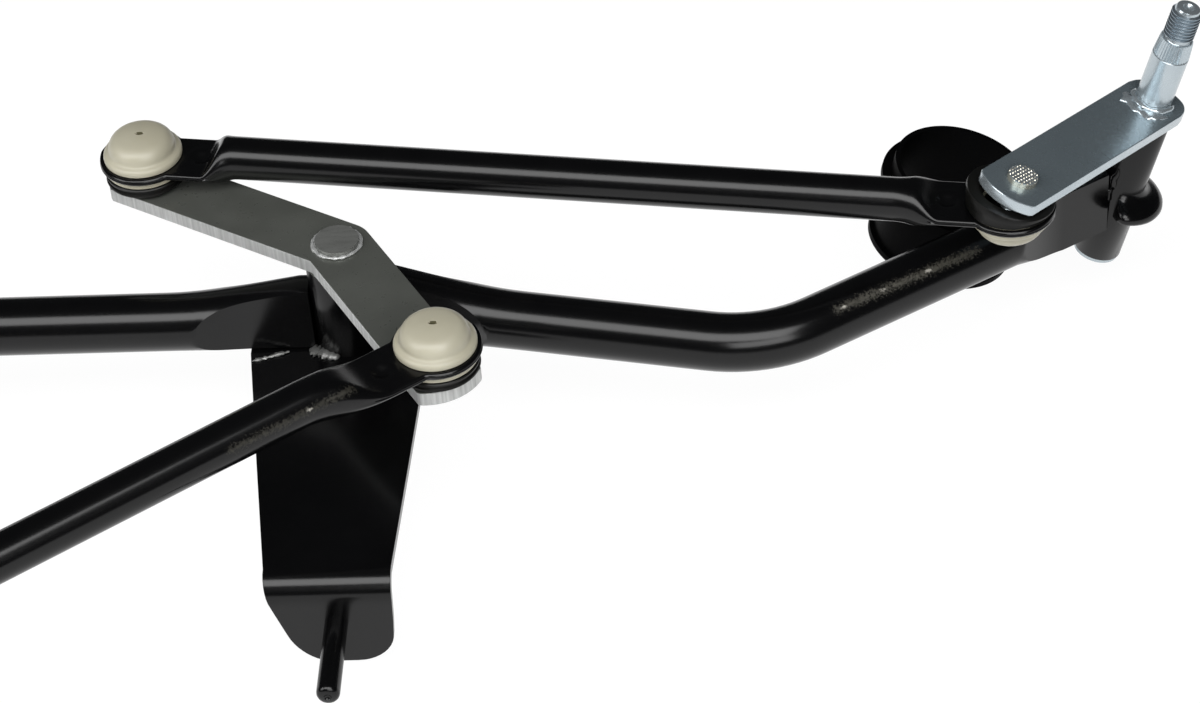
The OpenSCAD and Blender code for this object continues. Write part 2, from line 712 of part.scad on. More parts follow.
module left_housing_lip() { housing_lip(1); }
module left_upper_bush() { pivot_bush(1, upper_bush_z); }
module left_lower_bush() { pivot_bush(1, housing_foot); }
module left_crank_arm() { crank_arm(1); }
module left_pivot_shaft() { pivot_shaft(1); }
module left_crank_stud() { crank_stud(1, ball_d); }
module left_thrust_washer() { pivot_washer(1); }
module left_retaining_clip() { pivot_clip(1); }

// Mounting collar behind the tube, parallel to the wiper pivot and touching the tube's side
module mount_collar(side) {
    rise = rise_dir(side);
    back = unit(cross(pivot_axis, rise));
    place = pivot_at[side] - collar_along * rise + (tube_d / 2 + collar_d / 2 + weld_gap) * back;
    flange_d = collar_d + 2 * collar_flange;
    color(plate_color) mirror([side, 0, 0]) difference() {
        translate(place) rotate([0, pivot_tilt, 0]) difference() {
            union() {
                translate([0, 0, -collar_h]) cylinder(d = collar_d, h = collar_h);
                translate([0, 0, -collar_flange_drop - flange_thick]) cylinder(d = flange_d, h = flange_thick);
                translate([0, 0, -collar_h]) cylinder(d = flange_d - collar_flange, h = flange_thick);
            }
            translate([0, 0, -2 * collar_h]) cylinder(d = collar_d - 2 * collar_wall, h = 3 * collar_h);
        }
        // The flanges are notched where the tube passes
        translate(pivot_at[side] - 3 * collar_along * rise) rotate([0, 90, heading(rise)])
            cylinder(d = tube_d + 2 * weld_gap, h = 3 * collar_along);
    }
}
module right_mount_collar() { mount_collar(0); }
module left_mount_collar() { mount_collar(1); }

placed() {
    right_frame_tube();
    left_frame_tube();
    center_bracket();
    locating_pin();
    center_pivot_housing();
    center_upper_bush();
    center_lower_bush();
    right_pivot_housing();
    right_housing_lip();
    right_upper_bush();
    right_lower_bush();
    right_mount_collar();
    left_pivot_housing();
    left_housing_lip();
    left_upper_bush();
    left_lower_bush();
    left_mount_collar();
    bellcrank_plate();
    center_pivot_pin();
    center_thrust_washer();
    center_retaining_clip();
    bellcrank_right_stud();
    bellcrank_drive_stud();
    right_link_tube();
    right_link_inner_socket();
    right_link_inner_seal();
    right_link_outer_socket();
    right_link_outer_seal();
    right_crank_arm();
    right_pivot_shaft();
    right_crank_stud();
    right_thrust_washer();
    right_retaining_clip();
    drive_link_tube();
    drive_link_inner_socket();
    drive_link_inner_seal();
    drive_link_motor_socket();
    drive_link_motor_seal();
    left_crank_arm();
    left_pivot_shaft();
    left_crank_stud();
    left_thrust_washer();
    left_retaining_clip();
    left_link_tube();
    left_link_outer_socket();
    left_link_outer_seal();
    left_link_motor_socket();
    left_link_motor_seal();
}
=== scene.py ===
# %% [markdown]
# A wiper linkage swings two wiper shafts from one motor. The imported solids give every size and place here,
# and this lesson dresses them: painted tubes, zinc-plated cranks, nylon ball sockets and rubber seals.
# The first cell loads the solids and keeps their box, because the dressed part has to stay inside it.

# %% Load the solids
import bpy
import bmesh
import json
import math
import random
from mathutils import Matrix, Vector


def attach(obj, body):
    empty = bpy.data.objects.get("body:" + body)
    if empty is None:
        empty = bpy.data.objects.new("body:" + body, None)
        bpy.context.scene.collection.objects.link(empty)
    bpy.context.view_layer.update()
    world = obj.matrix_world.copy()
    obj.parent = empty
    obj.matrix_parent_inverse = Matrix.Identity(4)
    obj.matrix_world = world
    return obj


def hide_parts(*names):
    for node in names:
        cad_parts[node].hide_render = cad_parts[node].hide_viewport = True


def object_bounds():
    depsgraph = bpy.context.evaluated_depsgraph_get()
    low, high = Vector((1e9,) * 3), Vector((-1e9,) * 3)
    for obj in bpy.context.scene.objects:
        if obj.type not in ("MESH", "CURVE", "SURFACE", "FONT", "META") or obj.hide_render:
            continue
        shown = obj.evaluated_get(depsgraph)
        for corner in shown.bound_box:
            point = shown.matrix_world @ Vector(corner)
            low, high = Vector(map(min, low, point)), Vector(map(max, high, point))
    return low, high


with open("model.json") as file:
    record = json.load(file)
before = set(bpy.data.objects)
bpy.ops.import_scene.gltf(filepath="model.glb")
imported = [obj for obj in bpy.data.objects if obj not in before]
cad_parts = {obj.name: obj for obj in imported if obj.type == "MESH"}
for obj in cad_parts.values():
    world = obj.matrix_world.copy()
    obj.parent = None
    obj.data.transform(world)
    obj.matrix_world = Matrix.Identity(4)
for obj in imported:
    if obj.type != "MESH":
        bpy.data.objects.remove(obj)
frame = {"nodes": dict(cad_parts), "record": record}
cad_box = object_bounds()


def rounded(values, digits=3):
    return [round(v, digits) for v in values]


print("solids", len(frame["nodes"]), "box", [rounded(corner) for corner in cad_box])

# %% [markdown]
# Lengths below are millimetres measured from the bellcrank's pivot, at the bellcrank's top face, because that
# is where a maker would measure from. The solids have their origin at the root of the locating pin instead,
# so one function moves a point from the first frame to the second and turns it to metres.

# %% Measures
MM = 0.001
UP = Vector((0, 0, 1))
PIN_ROOT = Vector((3.2, -114.0, -55.5))
PLATE_TOP = -38.5
TUBE_GAP = 0.1
TUBE_R = 9.5
TUBE_Z = PLATE_TOP + TUBE_GAP + TUBE_R


def polar(length, degrees):
    angle = math.radians(degrees)
    return Vector((length * math.cos(angle), length * math.sin(angle), 0))


def metres(point):
    return (Vector(point) - PIN_ROOT) * MM


print("frame tubes lie at", round(TUBE_Z, 2), "mm")

# %% [markdown]
# Each wiper pivot leans outwards. One matrix stands a piece on a pivot, with zero height at the crank's top
# face, and the left pivot is a mirror of a right one. The ball joints follow from the lengths of the arms.

# %% Pivots and ball joints
TILT = math.radians(15)
CRANK_RISE = 36.9
RIGHT_PIVOT = Vector((252, 52.3, TUBE_Z))
LEFT_PIVOT = Vector((-400, 52.3, TUBE_Z))
RIGHT_AXIS = Vector((math.sin(TILT), 0, math.cos(TILT)))
LEFT_AXIS = Vector((-math.sin(TILT), 0, math.cos(TILT)))
RIGHT_ARM, RIGHT_ARM_TURN = 75.6, 150.2
DRIVE_ARM, DRIVE_ARM_TURN = 70.2, -59
CRANK_ARM = 72
CRANK_TURN = {"right": 228.9, "left": 200}
CRANK_AXIS = {"right": RIGHT_AXIS, "left": LEFT_AXIS}
BALL_DROP = {"right": Vector((0, 0, -13.3)), "left": Vector((0, 0, -11.3))}
EYE_LIFT = Vector((0, 0, 8))
EYE_OVER_BALL = Vector((0, 0, 2))
DRIVE_RUN, DRIVE_TURN = 245, 217
MOTOR_STEP = Vector((0, 0, 24))


def pivot_matrix(side):
    mirror = Matrix.Scale(-1, 4, (1, 0, 0)) if side == "left" else Matrix.Identity(4)
    home = mirror @ LEFT_PIVOT if side == "left" else RIGHT_PIVOT
    turn = Matrix.Rotation(TILT, 4, "Y")
    return mirror @ Matrix.Translation(home) @ turn @ Matrix.Translation((0, 0, CRANK_RISE))


def crank_ball(side):
    return pivot_matrix(side) @ (polar(CRANK_ARM, CRANK_TURN[side]) + BALL_DROP[side])


LINK_A = polar(RIGHT_ARM, RIGHT_ARM_TURN) + EYE_LIFT
LINK_B = polar(DRIVE_ARM, DRIVE_ARM_TURN) + EYE_LIFT
RIGHT_EYE = crank_ball("right") + EYE_OVER_BALL
LEFT_EYE = crank_ball("left")
MOTOR_HIGH = LINK_B + polar(DRIVE_RUN, DRIVE_TURN)
MOTOR_LOW = MOTOR_HIGH - MOTOR_STEP
print("right eye at", rounded(RIGHT_EYE, 1), "motor eye at", rounded(MOTOR_HIGH, 1))

# %% [markdown]
# The camera stands where the photographer stood, above and a little to the right of the bellcrank. Its place
# was worked out from the photograph's own lines: the tilt of the caps, the arms and the shaft.

# %% Camera
CAMERA_PLACE = (151.5, -843.7, 695.2)
camera_data = bpy.data.cameras.new("photo_camera")
camera_data.sensor_width = 36.0
camera_data.lens = 103.95
camera_data.clip_end = 20
camera = bpy.data.objects.new("photo_camera", camera_data)
bpy.context.scene.collection.objects.link(camera)
look_right = Vector((0.9976, 0.0284, -0.0629))
look_up = Vector((0.0284, 0.6624, 0.7486))
look_back = look_right.cross(look_up).normalized()
look_turn = Matrix((look_right, look_up, look_back)).transposed().to_4x4()
camera.matrix_world = Matrix.Translation(metres(CAMERA_PLACE)) @ look_turn
bpy.context.scene.camera = camera
print("camera at", rounded(camera.location))

# %% [markdown]
# The photograph has a plain white ground. A large pale floor lies just under the lowest solid. To the camera
# and in reflections it is mostly its own white, while it still takes a little of the part's shadow.

# %% Floor
FLOOR_SIZE = 12
FLOOR_DROP = 0.001
OWN_WHITE = 0.9
FLOOR_Z = cad_box[0][2] - FLOOR_DROP
bpy.ops.object.select_all(action="DESELECT")
bpy.ops.mesh.primitive_plane_add(size=FLOOR_SIZE, location=(0, 0, FLOOR_Z))
floor = bpy.context.object
floor.name = "studio_floor"
floor_paint = bpy.data.materials.new("pale_floor")
floor_paint.use_nodes = True
nodes = floor_paint.node_tree.nodes
links = floor_paint.node_tree.links
nodes.clear()
out = nodes.new("ShaderNodeOutputMaterial")
blend = nodes.new("ShaderNodeMixShader")
matt = nodes.new("ShaderNodeBsdfDiffuse")
glow = nodes.new("ShaderNodeEmission")
path = nodes.new("ShaderNodeLightPath")
seen = nodes.new("ShaderNodeMath")
share = nodes.new("ShaderNodeMath")
matt.inputs["Color"].default_value = (0.86, 0.86, 0.86, 1)
glow.inputs["Color"].default_value = (1, 1, 1, 1)
glow.inputs["Strength"].default_value = 1.06
seen.operation = "MAXIMUM"
share.operation = "MULTIPLY"
share.inputs[1].default_value = OWN_WHITE
links.new(path.outputs["Is Camera Ray"], seen.inputs[0])
links.new(path.outputs["Is Glossy Ray"], seen.inputs[1])
links.new(seen.outputs[0], share.inputs[0])
links.new(share.outputs[0], blend.inputs["Fac"])
links.new(matt.outputs[0], blend.inputs[1])
links.new(glow.outputs[0], blend.inputs[2])
links.new(blend.outputs[0], out.inputs["Surface"])
floor.data.materials.append(floor_paint)
print("floor at", round(FLOOR_Z, 4))

# %% [markdown]
# Black paint shows only what it reflects, so the light comes from three soft boxes: a wide one high in front,
# one to the left and one further in front, on the right. The air around is nearly dark, which keeps the
# paint black.

# %% Light
MIDDLE = Vector((0.0, 0.1, 0.03))
world = bpy.data.worlds.new("studio_air")
bpy.context.scene.world = world
world.use_nodes = True
air = world.node_tree.nodes["Background"]
air.inputs["Color"].default_value = (0.9, 0.95, 1.0, 1)
air.inputs["Strength"].default_value = 0.035


def soft_lamp(name, place, size, watts):
    data = bpy.data.lights.new(name, "AREA")
    data.shape = "RECTANGLE"
    data.size, data.size_y = size
    data.energy = watts
    lamp = bpy.data.objects.new(name, data)
    bpy.context.scene.collection.objects.link(lamp)
    lamp.location = place
    lamp.rotation_euler = (MIDDLE - Vector(place)).to_track_quat("-Z", "Y").to_euler()


soft_lamp("top_box", (0.0, -0.7, 1.3), (1.8, 0.75), 22)
soft_lamp("left_box", (-1.2, -0.5, 0.9), (0.8, 0.8), 10)
soft_lamp("front_box", (0.5, -1.4, 0.9), (1.2, 0.6), 10)
bpy.context.scene.view_settings.view_transform = "Standard"
print("lamps", len(bpy.data.lights))

# %% [markdown]
# Paint, plating, nylon and rubber all vary a little over their surface. That change is one node group with a
# broad and a fine noise, placed in each finish with its own scale. Squeezed along one axis, the same noise
# gives the stripes of a cut edge.

# %% Mottle group
BROAD_SHARE = 0.12


def group_socket(tree, name, kind, way, value=None):
    socket = tree.interface.new_socket(name=name, in_out=way, socket_type=kind)
    if value is not None:
        socket.default_value = value


def make_mottle():
    tree = bpy.data.node_groups.new("fine_mottle", "ShaderNodeTree")
    group_socket(tree, "Scale", "NodeSocketFloat", "INPUT", 400.0)
    group_socket(tree, "Squeeze", "NodeSocketVector", "INPUT", (1, 1, 1))
    group_socket(tree, "Broad", "NodeSocketFloat", "OUTPUT")
    group_socket(tree, "Fine", "NodeSocketFloat", "OUTPUT")
    enter = tree.nodes.new("NodeGroupInput")
    leave = tree.nodes.new("NodeGroupOutput")
    where = tree.nodes.new("ShaderNodeTexCoord")
    squeezed = tree.nodes.new("ShaderNodeVectorMath")
    squeezed.operation = "MULTIPLY"
    tree.links.new(where.outputs["Object"], squeezed.inputs[0])
    tree.links.new(enter.outputs["Squeeze"], squeezed.inputs[1])
    wider = tree.nodes.new("ShaderNodeMath")
    wider.operation = "MULTIPLY"
    wider.inputs[1].default_value = BROAD_SHARE
    broad = tree.nodes.new("ShaderNodeTexNoise")
    fine = tree.nodes.new("ShaderNodeTexNoise")
    broad.inputs["Detail"].default_value = 4
    fine.inputs["Detail"].default_value = 3
    tree.links.new(enter.outputs["Scale"], wider.inputs[0])
    tree.links.new(wider.outputs[0], broad.inputs["Scale"])
    tree.links.new(enter.outputs["Scale"], fine.inputs["Scale"])
    tree.links.new(squeezed.outputs[0], broad.inputs["Vector"])
    tree.links.new(squeezed.outputs[0], fine.inputs["Vector"])
    tree.links.new(broad.outputs["Fac"], leave.inputs["Broad"])
    tree.links.new(fine.outputs["Fac"], leave.inputs["Fine"])
    return tree


MOTTLE = make_mottle()
print("group", MOTTLE.name)

# %% [markdown]
# A second group finds the places where paint has been chafed through, and it also lays the drive link's
# painted reflection streak. Its mask is strong near one line and is broken up by a rough noise, so that the
# edge of the patch looks chipped.

# %% Rub and painted sheen group
EDGE_PULL = 0.3


def make_rub_and_sheen():
    tree = bpy.data.node_groups.new("rub_and_sheen_streak", "ShaderNodeTree")
    group_socket(tree, "Start", "NodeSocketVector", "INPUT")
    group_socket(tree, "Along", "NodeSocketVector", "INPUT")
    group_socket(tree, "Length", "NodeSocketFloat", "INPUT", 0.03)
    group_socket(tree, "Reach", "NodeSocketFloat", "INPUT", 0.003)
    group_socket(tree, "Mask", "NodeSocketFloat", "OUTPUT")

    def step(kind, operation, *values):
        node = tree.nodes.new(kind)
        node.operation = operation
        for socket, value in zip(node.inputs, values):
            if hasattr(value, "is_linked"):
                tree.links.new(value, socket)
            else:
                socket.default_value = value
        return node

    enter = tree.nodes.new("NodeGroupInput")
    leave = tree.nodes.new("NodeGroupOutput")
    where = tree.nodes.new("ShaderNodeTexCoord").outputs["Object"]
    gap = step("ShaderNodeVectorMath", "SUBTRACT", where, enter.outputs["Start"])
    run = step("ShaderNodeVectorMath", "DOT_PRODUCT", gap.outputs[0], enter.outputs["Along"])
    low = step("ShaderNodeMath", "MAXIMUM", run.outputs["Value"], 0.0)
    high = step("ShaderNodeMath", "MINIMUM", low.outputs[0], enter.outputs["Length"])
    part = step("ShaderNodeVectorMath", "SCALE", enter.outputs["Along"])
    tree.links.new(high.outputs[0], part.inputs["Scale"])
    far = step("ShaderNodeVectorMath", "DISTANCE", gap.outputs[0], part.outputs[0])
    near = step("ShaderNodeMath", "DIVIDE", far.outputs["Value"], enter.outputs["Reach"])
    fall = step("ShaderNodeMath", "SUBTRACT", 1.0, near.outputs[0])
    chips = tree.nodes.new("ShaderNodeTexNoise")
    chips.inputs["Scale"].default_value = 1100
    chips.inputs["Detail"].default_value = 6
    chips.inputs["Roughness"].default_value = 0.8
    tree.links.new(where, chips.inputs["Vector"])
    total = step("ShaderNodeMath", "MULTIPLY_ADD", fall.outputs[0], EDGE_PULL, chips.outputs["Fac"])
    hard = tree.nodes.new("ShaderNodeMapRange")
    hard.inputs["From Min"].default_value = 0.64
    hard.inputs["From Max"].default_value = 0.9
    tree.links.new(total.outputs[0], hard.inputs["Value"])
    tree.links.new(hard.outputs["Result"], leave.inputs["Mask"])
    return tree


RUB_AND_SHEEN = make_rub_and_sheen()
print("group", RUB_AND_SHEEN.name)

# %% [markdown]
# Each finish is a Principled shader. What is the same all over, such as how metallic a plating is, is written
# on the shader itself. What changes over the surface comes in through links: the colour, the roughness and,
# on some, a very low bump. Each rubbed place, and the painted reflection streak, is laid over the colour and
# the roughness.

# %% One finish
MARK_ROUGH = 0.55
BUMP_DEPTH = 0.0003


def finish(name, dark, light, rough, metal, scale, bump, specular=0.5, squeeze=(1, 1, 1), rubs_and_sheen=()):
    material = bpy.data.materials.new(name)
    material.use_nodes = True
    tree = material.node_tree
    shader = tree.nodes["Principled BSDF"]
    shader.inputs["Metallic"].default_value = metal
    shader.inputs["Specular IOR Level"].default_value = specular
    grain = tree.nodes.new("ShaderNodeGroup")
    grain.node_tree = MOTTLE
    grain.inputs["Scale"].default_value = scale
    grain.inputs["Squeeze"].default_value = squeeze
    tone = tree.nodes.new("ShaderNodeMix")
    tone.data_type = "RGBA"
    tone.inputs["A"].default_value = (*dark, 1)
    tone.inputs["B"].default_value = (*light, 1)
    tree.links.new(grain.outputs["Broad"], tone.inputs["Factor"])
    colour = tone.outputs["Result"]
    gloss = tree.nodes.new("ShaderNodeMapRange")
    gloss.inputs["From Min"].default_value = 0.3
    gloss.inputs["From Max"].default_value = 0.7
    gloss.inputs["To Min"].default_value = rough[0]
    gloss.inputs["To Max"].default_value = rough[1]
    tree.links.new(grain.outputs["Fine"], gloss.inputs["Value"])
    roughness = gloss.outputs["Result"]
    # Each mark is rubbed paint or a chip, except the drive link's lighter streak, which is a painted
    # reflection.
    for start, end, reach, mark_tone in rubs_and_sheen:
        spot = tree.nodes.new("ShaderNodeGroup")
        spot.node_tree = RUB_AND_SHEEN
        streak = (Vector(end) - Vector(start)) * MM
        spot.inputs["Start"].default_value = metres(start)
        spot.inputs["Along"].default_value = streak.normalized()
        spot.inputs["Length"].default_value = streak.length
        spot.inputs["Reach"].default_value = reach * MM
        mark_mix = tree.nodes.new("ShaderNodeMix")
        mark_mix.data_type = "RGBA"
        mark_mix.inputs["B"].default_value = (*mark_tone, 1)
        tree.links.new(spot.outputs["Mask"], mark_mix.inputs["Factor"])
        tree.links.new(colour, mark_mix.inputs["A"])
        colour = mark_mix.outputs["Result"]
        dull = tree.nodes.new("ShaderNodeMix")
        dull.inputs["B"].default_value = MARK_ROUGH
        tree.links.new(spot.outputs["Mask"], dull.inputs["Factor"])
        tree.links.new(roughness, dull.inputs["A"])
        roughness = dull.outputs["Result"]
    tree.links.new(colour, shader.inputs["Base Color"])
    tree.links.new(roughness, shader.inputs["Roughness"])
    if bump:
        relief = tree.nodes.new("ShaderNodeBump")
        relief.inputs["Strength"].default_value = bump
        relief.inputs["Distance"].default_value = BUMP_DEPTH
        tree.links.new(grain.outputs["Fine"], relief.inputs["Height"])
        tree.links.new(relief.outputs["Normal"], shader.inputs["Normal"])
    return material


print("a finish can be made")

# %% [markdown]
# The paint is a soot black with a shine, rubbed through on the right tube. The lighter streak along the drive
# link's front is a painted reflection, with one real chip in it. The collars lie in shade, so they take a
# shaded copy of the paint that reflects almost nothing: painted shade. Zinc is dull on the bellcrank, striped
# on its cut edges, and bluish on the cranks and threads. After its name, a finish has a dark and a light
# colour, its roughness from low to high, how metallic it is, the scale of its mottle and its bump.

# %% The finishes
SCUFF, PAINTED_SHEEN, METAL = (0.075, 0.071, 0.058), (0.036, 0.034, 0.026), (0.5, 0.48, 0.43)
RUBS_AND_SHEEN = [
    ((157.9, -14.4, -21.1), (202.9, 13.3, -21.8), 3.4, SCUFF),
    ((186.7, 3.3, -21.5), (188.0, 4.1, -21.5), 1.2, METAL),
    ((171.9, -5.8, -21.3), (173.2, -5.0, -21.3), 1.0, METAL),
    ((159.3, -13.6, -21.1), (160.6, -12.8, -21.1), 1.0, METAL),
    # A painted reflection: the lighter streak along the drive link's front edge. The spot below it is a real
    # chip.
    ((-19.8, -110.5, 14.6), (14.0, -85.0, 14.8), 2.9, PAINTED_SHEEN),
    ((1.0, -94.6, 14.8), (2.0, -93.8, 14.8), 0.9, METAL),
]
SOOT, TAR = (0.0014, 0.0014, 0.0016), (0.0028, 0.0028, 0.003)
GLOSSY = {"rough": (0.185, 0.205), "metal": 0.0, "scale": 900, "bump": 0, "specular": 0.36}
BLACK_PAINT = finish("black_paint", SOOT, TAR, **GLOSSY)
# Rubbed paint on the right tube; on the drive link the same finish carries a painted reflection streak.
WORN_AND_SHEEN_PAINT = finish("worn_and_sheen_paint", SOOT, TAR, **GLOSSY, rubs_and_sheen=RUBS_AND_SHEEN)
# A shaded copy of the black paint for the collars, reflecting almost nothing: painted shade.
SHADED_PAINT = finish("shaded_paint", SOOT, TAR, (0.38, 0.48), 0.0, 900, 0.01, specular=0.02)
DULL_ZINC = finish("dull_zinc", (0.115, 0.121, 0.108), (0.2, 0.208, 0.188), (0.27, 0.3), 0.6, 400, 0.02)
CUT_ZINC = finish("cut_zinc", (0.2, 0.205, 0.2), (0.78, 0.79, 0.78), (0.3, 0.42), 0.5, 8000, 0.35,
                  squeeze=(1, 1, 0.04))
CRANK_ZINC = finish("crank_zinc", (0.22, 0.27, 0.30), (0.30, 0.36, 0.39), (0.265, 0.28), 0.7, 250, 0)
BRIGHT_ZINC = finish("bright_zinc", (0.42, 0.48, 0.52), (0.56, 0.62, 0.65), (0.225, 0.25), 0.75, 500, 0.01)
THREAD_ZINC = finish("thread_zinc", (0.27, 0.33, 0.38), (0.42, 0.49, 0.54), (0.22, 0.27), 0.85, 900, 0.02)
RIVET_ZINC = finish("rivet_zinc", (0.5, 0.48, 0.4), (0.75, 0.73, 0.63), (0.18, 0.26), 0.8, 900, 0.05)
HEAD_ZINC = finish("head_zinc", (0.15, 0.155, 0.145), (0.34, 0.345, 0.33), (0.26, 0.36), 0.6, 3000, 0.25,
                   squeeze=(0.3, 1.6, 1))
NYLON = finish("nylon", (0.35, 0.325, 0.24), (0.45, 0.43, 0.34), (0.32, 0.42), 0.0, 500, 0.03)
GATE_SHADE = finish("gate_shade", (0.05, 0.045, 0.02), (0.11, 0.1, 0.05), (0.5, 0.6), 0.0, 500, 0)
RUBBER = finish("rubber", (0.003, 0.003, 0.003), (0.007, 0.007, 0.006), (0.3, 0.42), 0.0, 800, 0.06,
                specular=0.24)
BRONZE = finish("bronze", (0.34, 0.22, 0.09), (0.48, 0.33, 0.15), (0.35, 0.5), 0.9, 900, 0.2)
BARE_WELD = finish("bare_weld", (0.08, 0.083, 0.08), (0.36, 0.36, 0.35), (0.3, 0.45), 0.6, 2400, 0.3)
print("finishes", len(bpy.data.materials))

# %% [markdown]
# Nearly every piece is a skin drawn over a row of rings. The helper starts from a circle, extrudes it ring by
# ring, moves each new ring to its points and closes both ends. The piece stays at the origin with its place
# in its mesh, as the solids do.

# %% A skin over rings
MERGE = 1e-6


def start_clean():
    if bpy.context.object and bpy.context.object.mode != "OBJECT":
        bpy.ops.object.mode_set(mode="OBJECT")
    bpy.ops.object.select_all(action="DESELECT")


def pick(piece):
    start_clean()
    bpy.context.view_layer.objects.active = piece
    piece.select_set(True)


def select_first(piece, count):
    bpy.ops.mesh.select_all(action="DESELECT")
    mesh = bmesh.from_edit_mesh(piece.data)
    mesh.verts.ensure_lookup_table()
    for v in mesh.verts[:count]:
        v.select = True
    mesh.select_flush(True)
    bmesh.update_edit_mesh(piece.data)


def put_ring(piece, ring):
    mesh = bmesh.from_edit_mesh(piece.data)
    chosen = [v for v in mesh.verts if v.select]
    for v, place in zip(chosen, ring):
        v.co = place
    bmesh.update_edit_mesh(piece.data)


def start_circle(name, count):
    start_clean()
    bpy.ops.mesh.primitive_circle_add(vertices=count, radius=MM)
    piece = bpy.context.object
    piece.name = name
    bpy.ops.object.mode_set(mode="EDIT")
    bpy.ops.mesh.select_all(action="SELECT")
    return piece


def close_up(piece, smooth):
    bpy.ops.mesh.select_all(action="SELECT")
    bpy.ops.mesh.remove_doubles(threshold=MERGE)
    bpy.ops.mesh.normals_make_consistent(inside=False)
    bpy.ops.object.mode_set(mode="OBJECT")
    bpy.ops.object.shade_smooth_by_angle(angle=math.radians(smooth))


def swept(name, rings, loop=False, smooth=40):
    # The rings are lists of points in millimetres from the bellcrank's pivot
    count = len(rings[0])
    piece = start_circle(name, count)
    put_ring(piece, [metres(p) for p in rings[0]])
    for ring in rings[1:] + ([rings[0]] if loop else []):
        bpy.ops.mesh.extrude_region_move()
        put_ring(piece, [metres(p) for p in ring])
    if not loop:
        bpy.ops.mesh.edge_face_add()
        select_first(piece, count)
        bpy.ops.mesh.edge_face_add()
    close_up(piece, smooth)
    piece.data.name = name
    return piece


print("skins can be swept")

# %% [markdown]
# Pins, caps and housings are turned on a lathe, so their rings are circles taken from a profile. Arms are cut
# from plate, so theirs are two copies of one outline, and a small bevel breaks the edges as tumbling does.

# %% Turned pieces and plates
HERE = Matrix.Identity(4)
PLATE_EDGE = 0.35


def turned(name, profile, matrix, segments=64):
    # The profile has a radius and a height for each ring, and how narrow the ring is where it isn't round
    rings = []
    for radius, height, *narrow in profile:
        ring = []
        flat = narrow[0] if narrow else 1.0
        for k in range(segments):
            a = 2 * math.pi * k / segments
            ring.append(matrix @ Vector((radius * math.cos(a), flat * radius * math.sin(a), height)))
        rings.append(ring)
    return swept(name, rings)


def ring_turned(name, profile, matrix):
    # For a piece with a hole: the profile closes on itself, and the two end faces go
    piece = turned(name, profile + [profile[0]], matrix)
    pick(piece)
    bpy.ops.object.mode_set(mode="EDIT")
    bpy.ops.mesh.select_all(action="DESELECT")
    mesh = bmesh.from_edit_mesh(piece.data)
    for face in mesh.faces:
        face.select = len(face.verts) > 4
    bmesh.update_edit_mesh(piece.data)
    bpy.ops.mesh.delete(type="ONLY_FACE")
    close_up(piece, 40)
    return piece


def soften(piece, width, angle=40):
    pick(piece)
    bevel = piece.modifiers.new("soft_edge", "BEVEL")
    bevel.width = width * MM
    bevel.segments = 2
    bevel.limit_method = "ANGLE"
    bevel.angle_limit = math.radians(angle)
    bpy.ops.object.modifier_apply(modifier=bevel.name)
    bpy.ops.object.shade_smooth_by_angle(angle=math.radians(angle))
    return piece


def plate(name, outline, low, high, matrix):
    rings = []
    for height in (low, high):
        rings.append([matrix @ Vector((x, y, height)) for x, y in outline])
    return soften(swept(name, rings), PLATE_EDGE)


def dress(piece, body, slot, material, *stands_for):
    piece.data.materials.clear()
    piece.data.materials.append(material)
    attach(piece, body)
    if stands_for:
        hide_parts(*stands_for)
    return piece


print("pieces can be turned, cut and dressed")

# %% [markdown]
# The frame is two lengths of tube. Each is bent once, and its ends are pressed where they meet a pivot
# housing. A pressed ring is a round section with both sides pushed flat: it grows taller as it gets thinner,
# and a crease runs along each edge of the flats.

# %% Frame tubes
FLAT_HALF = 4.5
FLAT_TALL = 12.354
LEAST_CREASE = 0.3
ROUND_STEPS, FLAT_STEPS = 12, 20
BEND_R = 45
BEND_STEPS = 12
SWELL_FROM, SWELL_RUN = 58, 44
INNER_PRESS_FROM, INNER_PRESS_RUN = 49, 24
OUTER_PRESS_FROM, OUTER_PRESS_RUN = 46, 20
INNER_STATIONS = [13, 14, 18, 22, 26, *range(28, 52), 54, 58, 60]
OUTER_STATIONS = [48, *range(47, 25, -1), 18]


def share_of(value):
    return min(max(value, 0.0), 1.0)


def pressed_ring(centre, side, half, tall):
    crease = max(math.acos(min(half / tall, 1.0)), LEAST_CREASE)
    angles = []
    for turn in (0, math.pi):
        for k in range(ROUND_STEPS):
            angles.append(turn - crease + 2 * crease * k / ROUND_STEPS)
        for k in range(FLAT_STEPS):
            angles.append(turn + crease + (math.pi - 2 * crease) * k / FLAT_STEPS)
    ring = []
    for a in angles:
        x = min(max(tall * math.cos(a), -half), half)
        ring.append(centre + side * x + UP * (tall * math.sin(a)))
    return ring


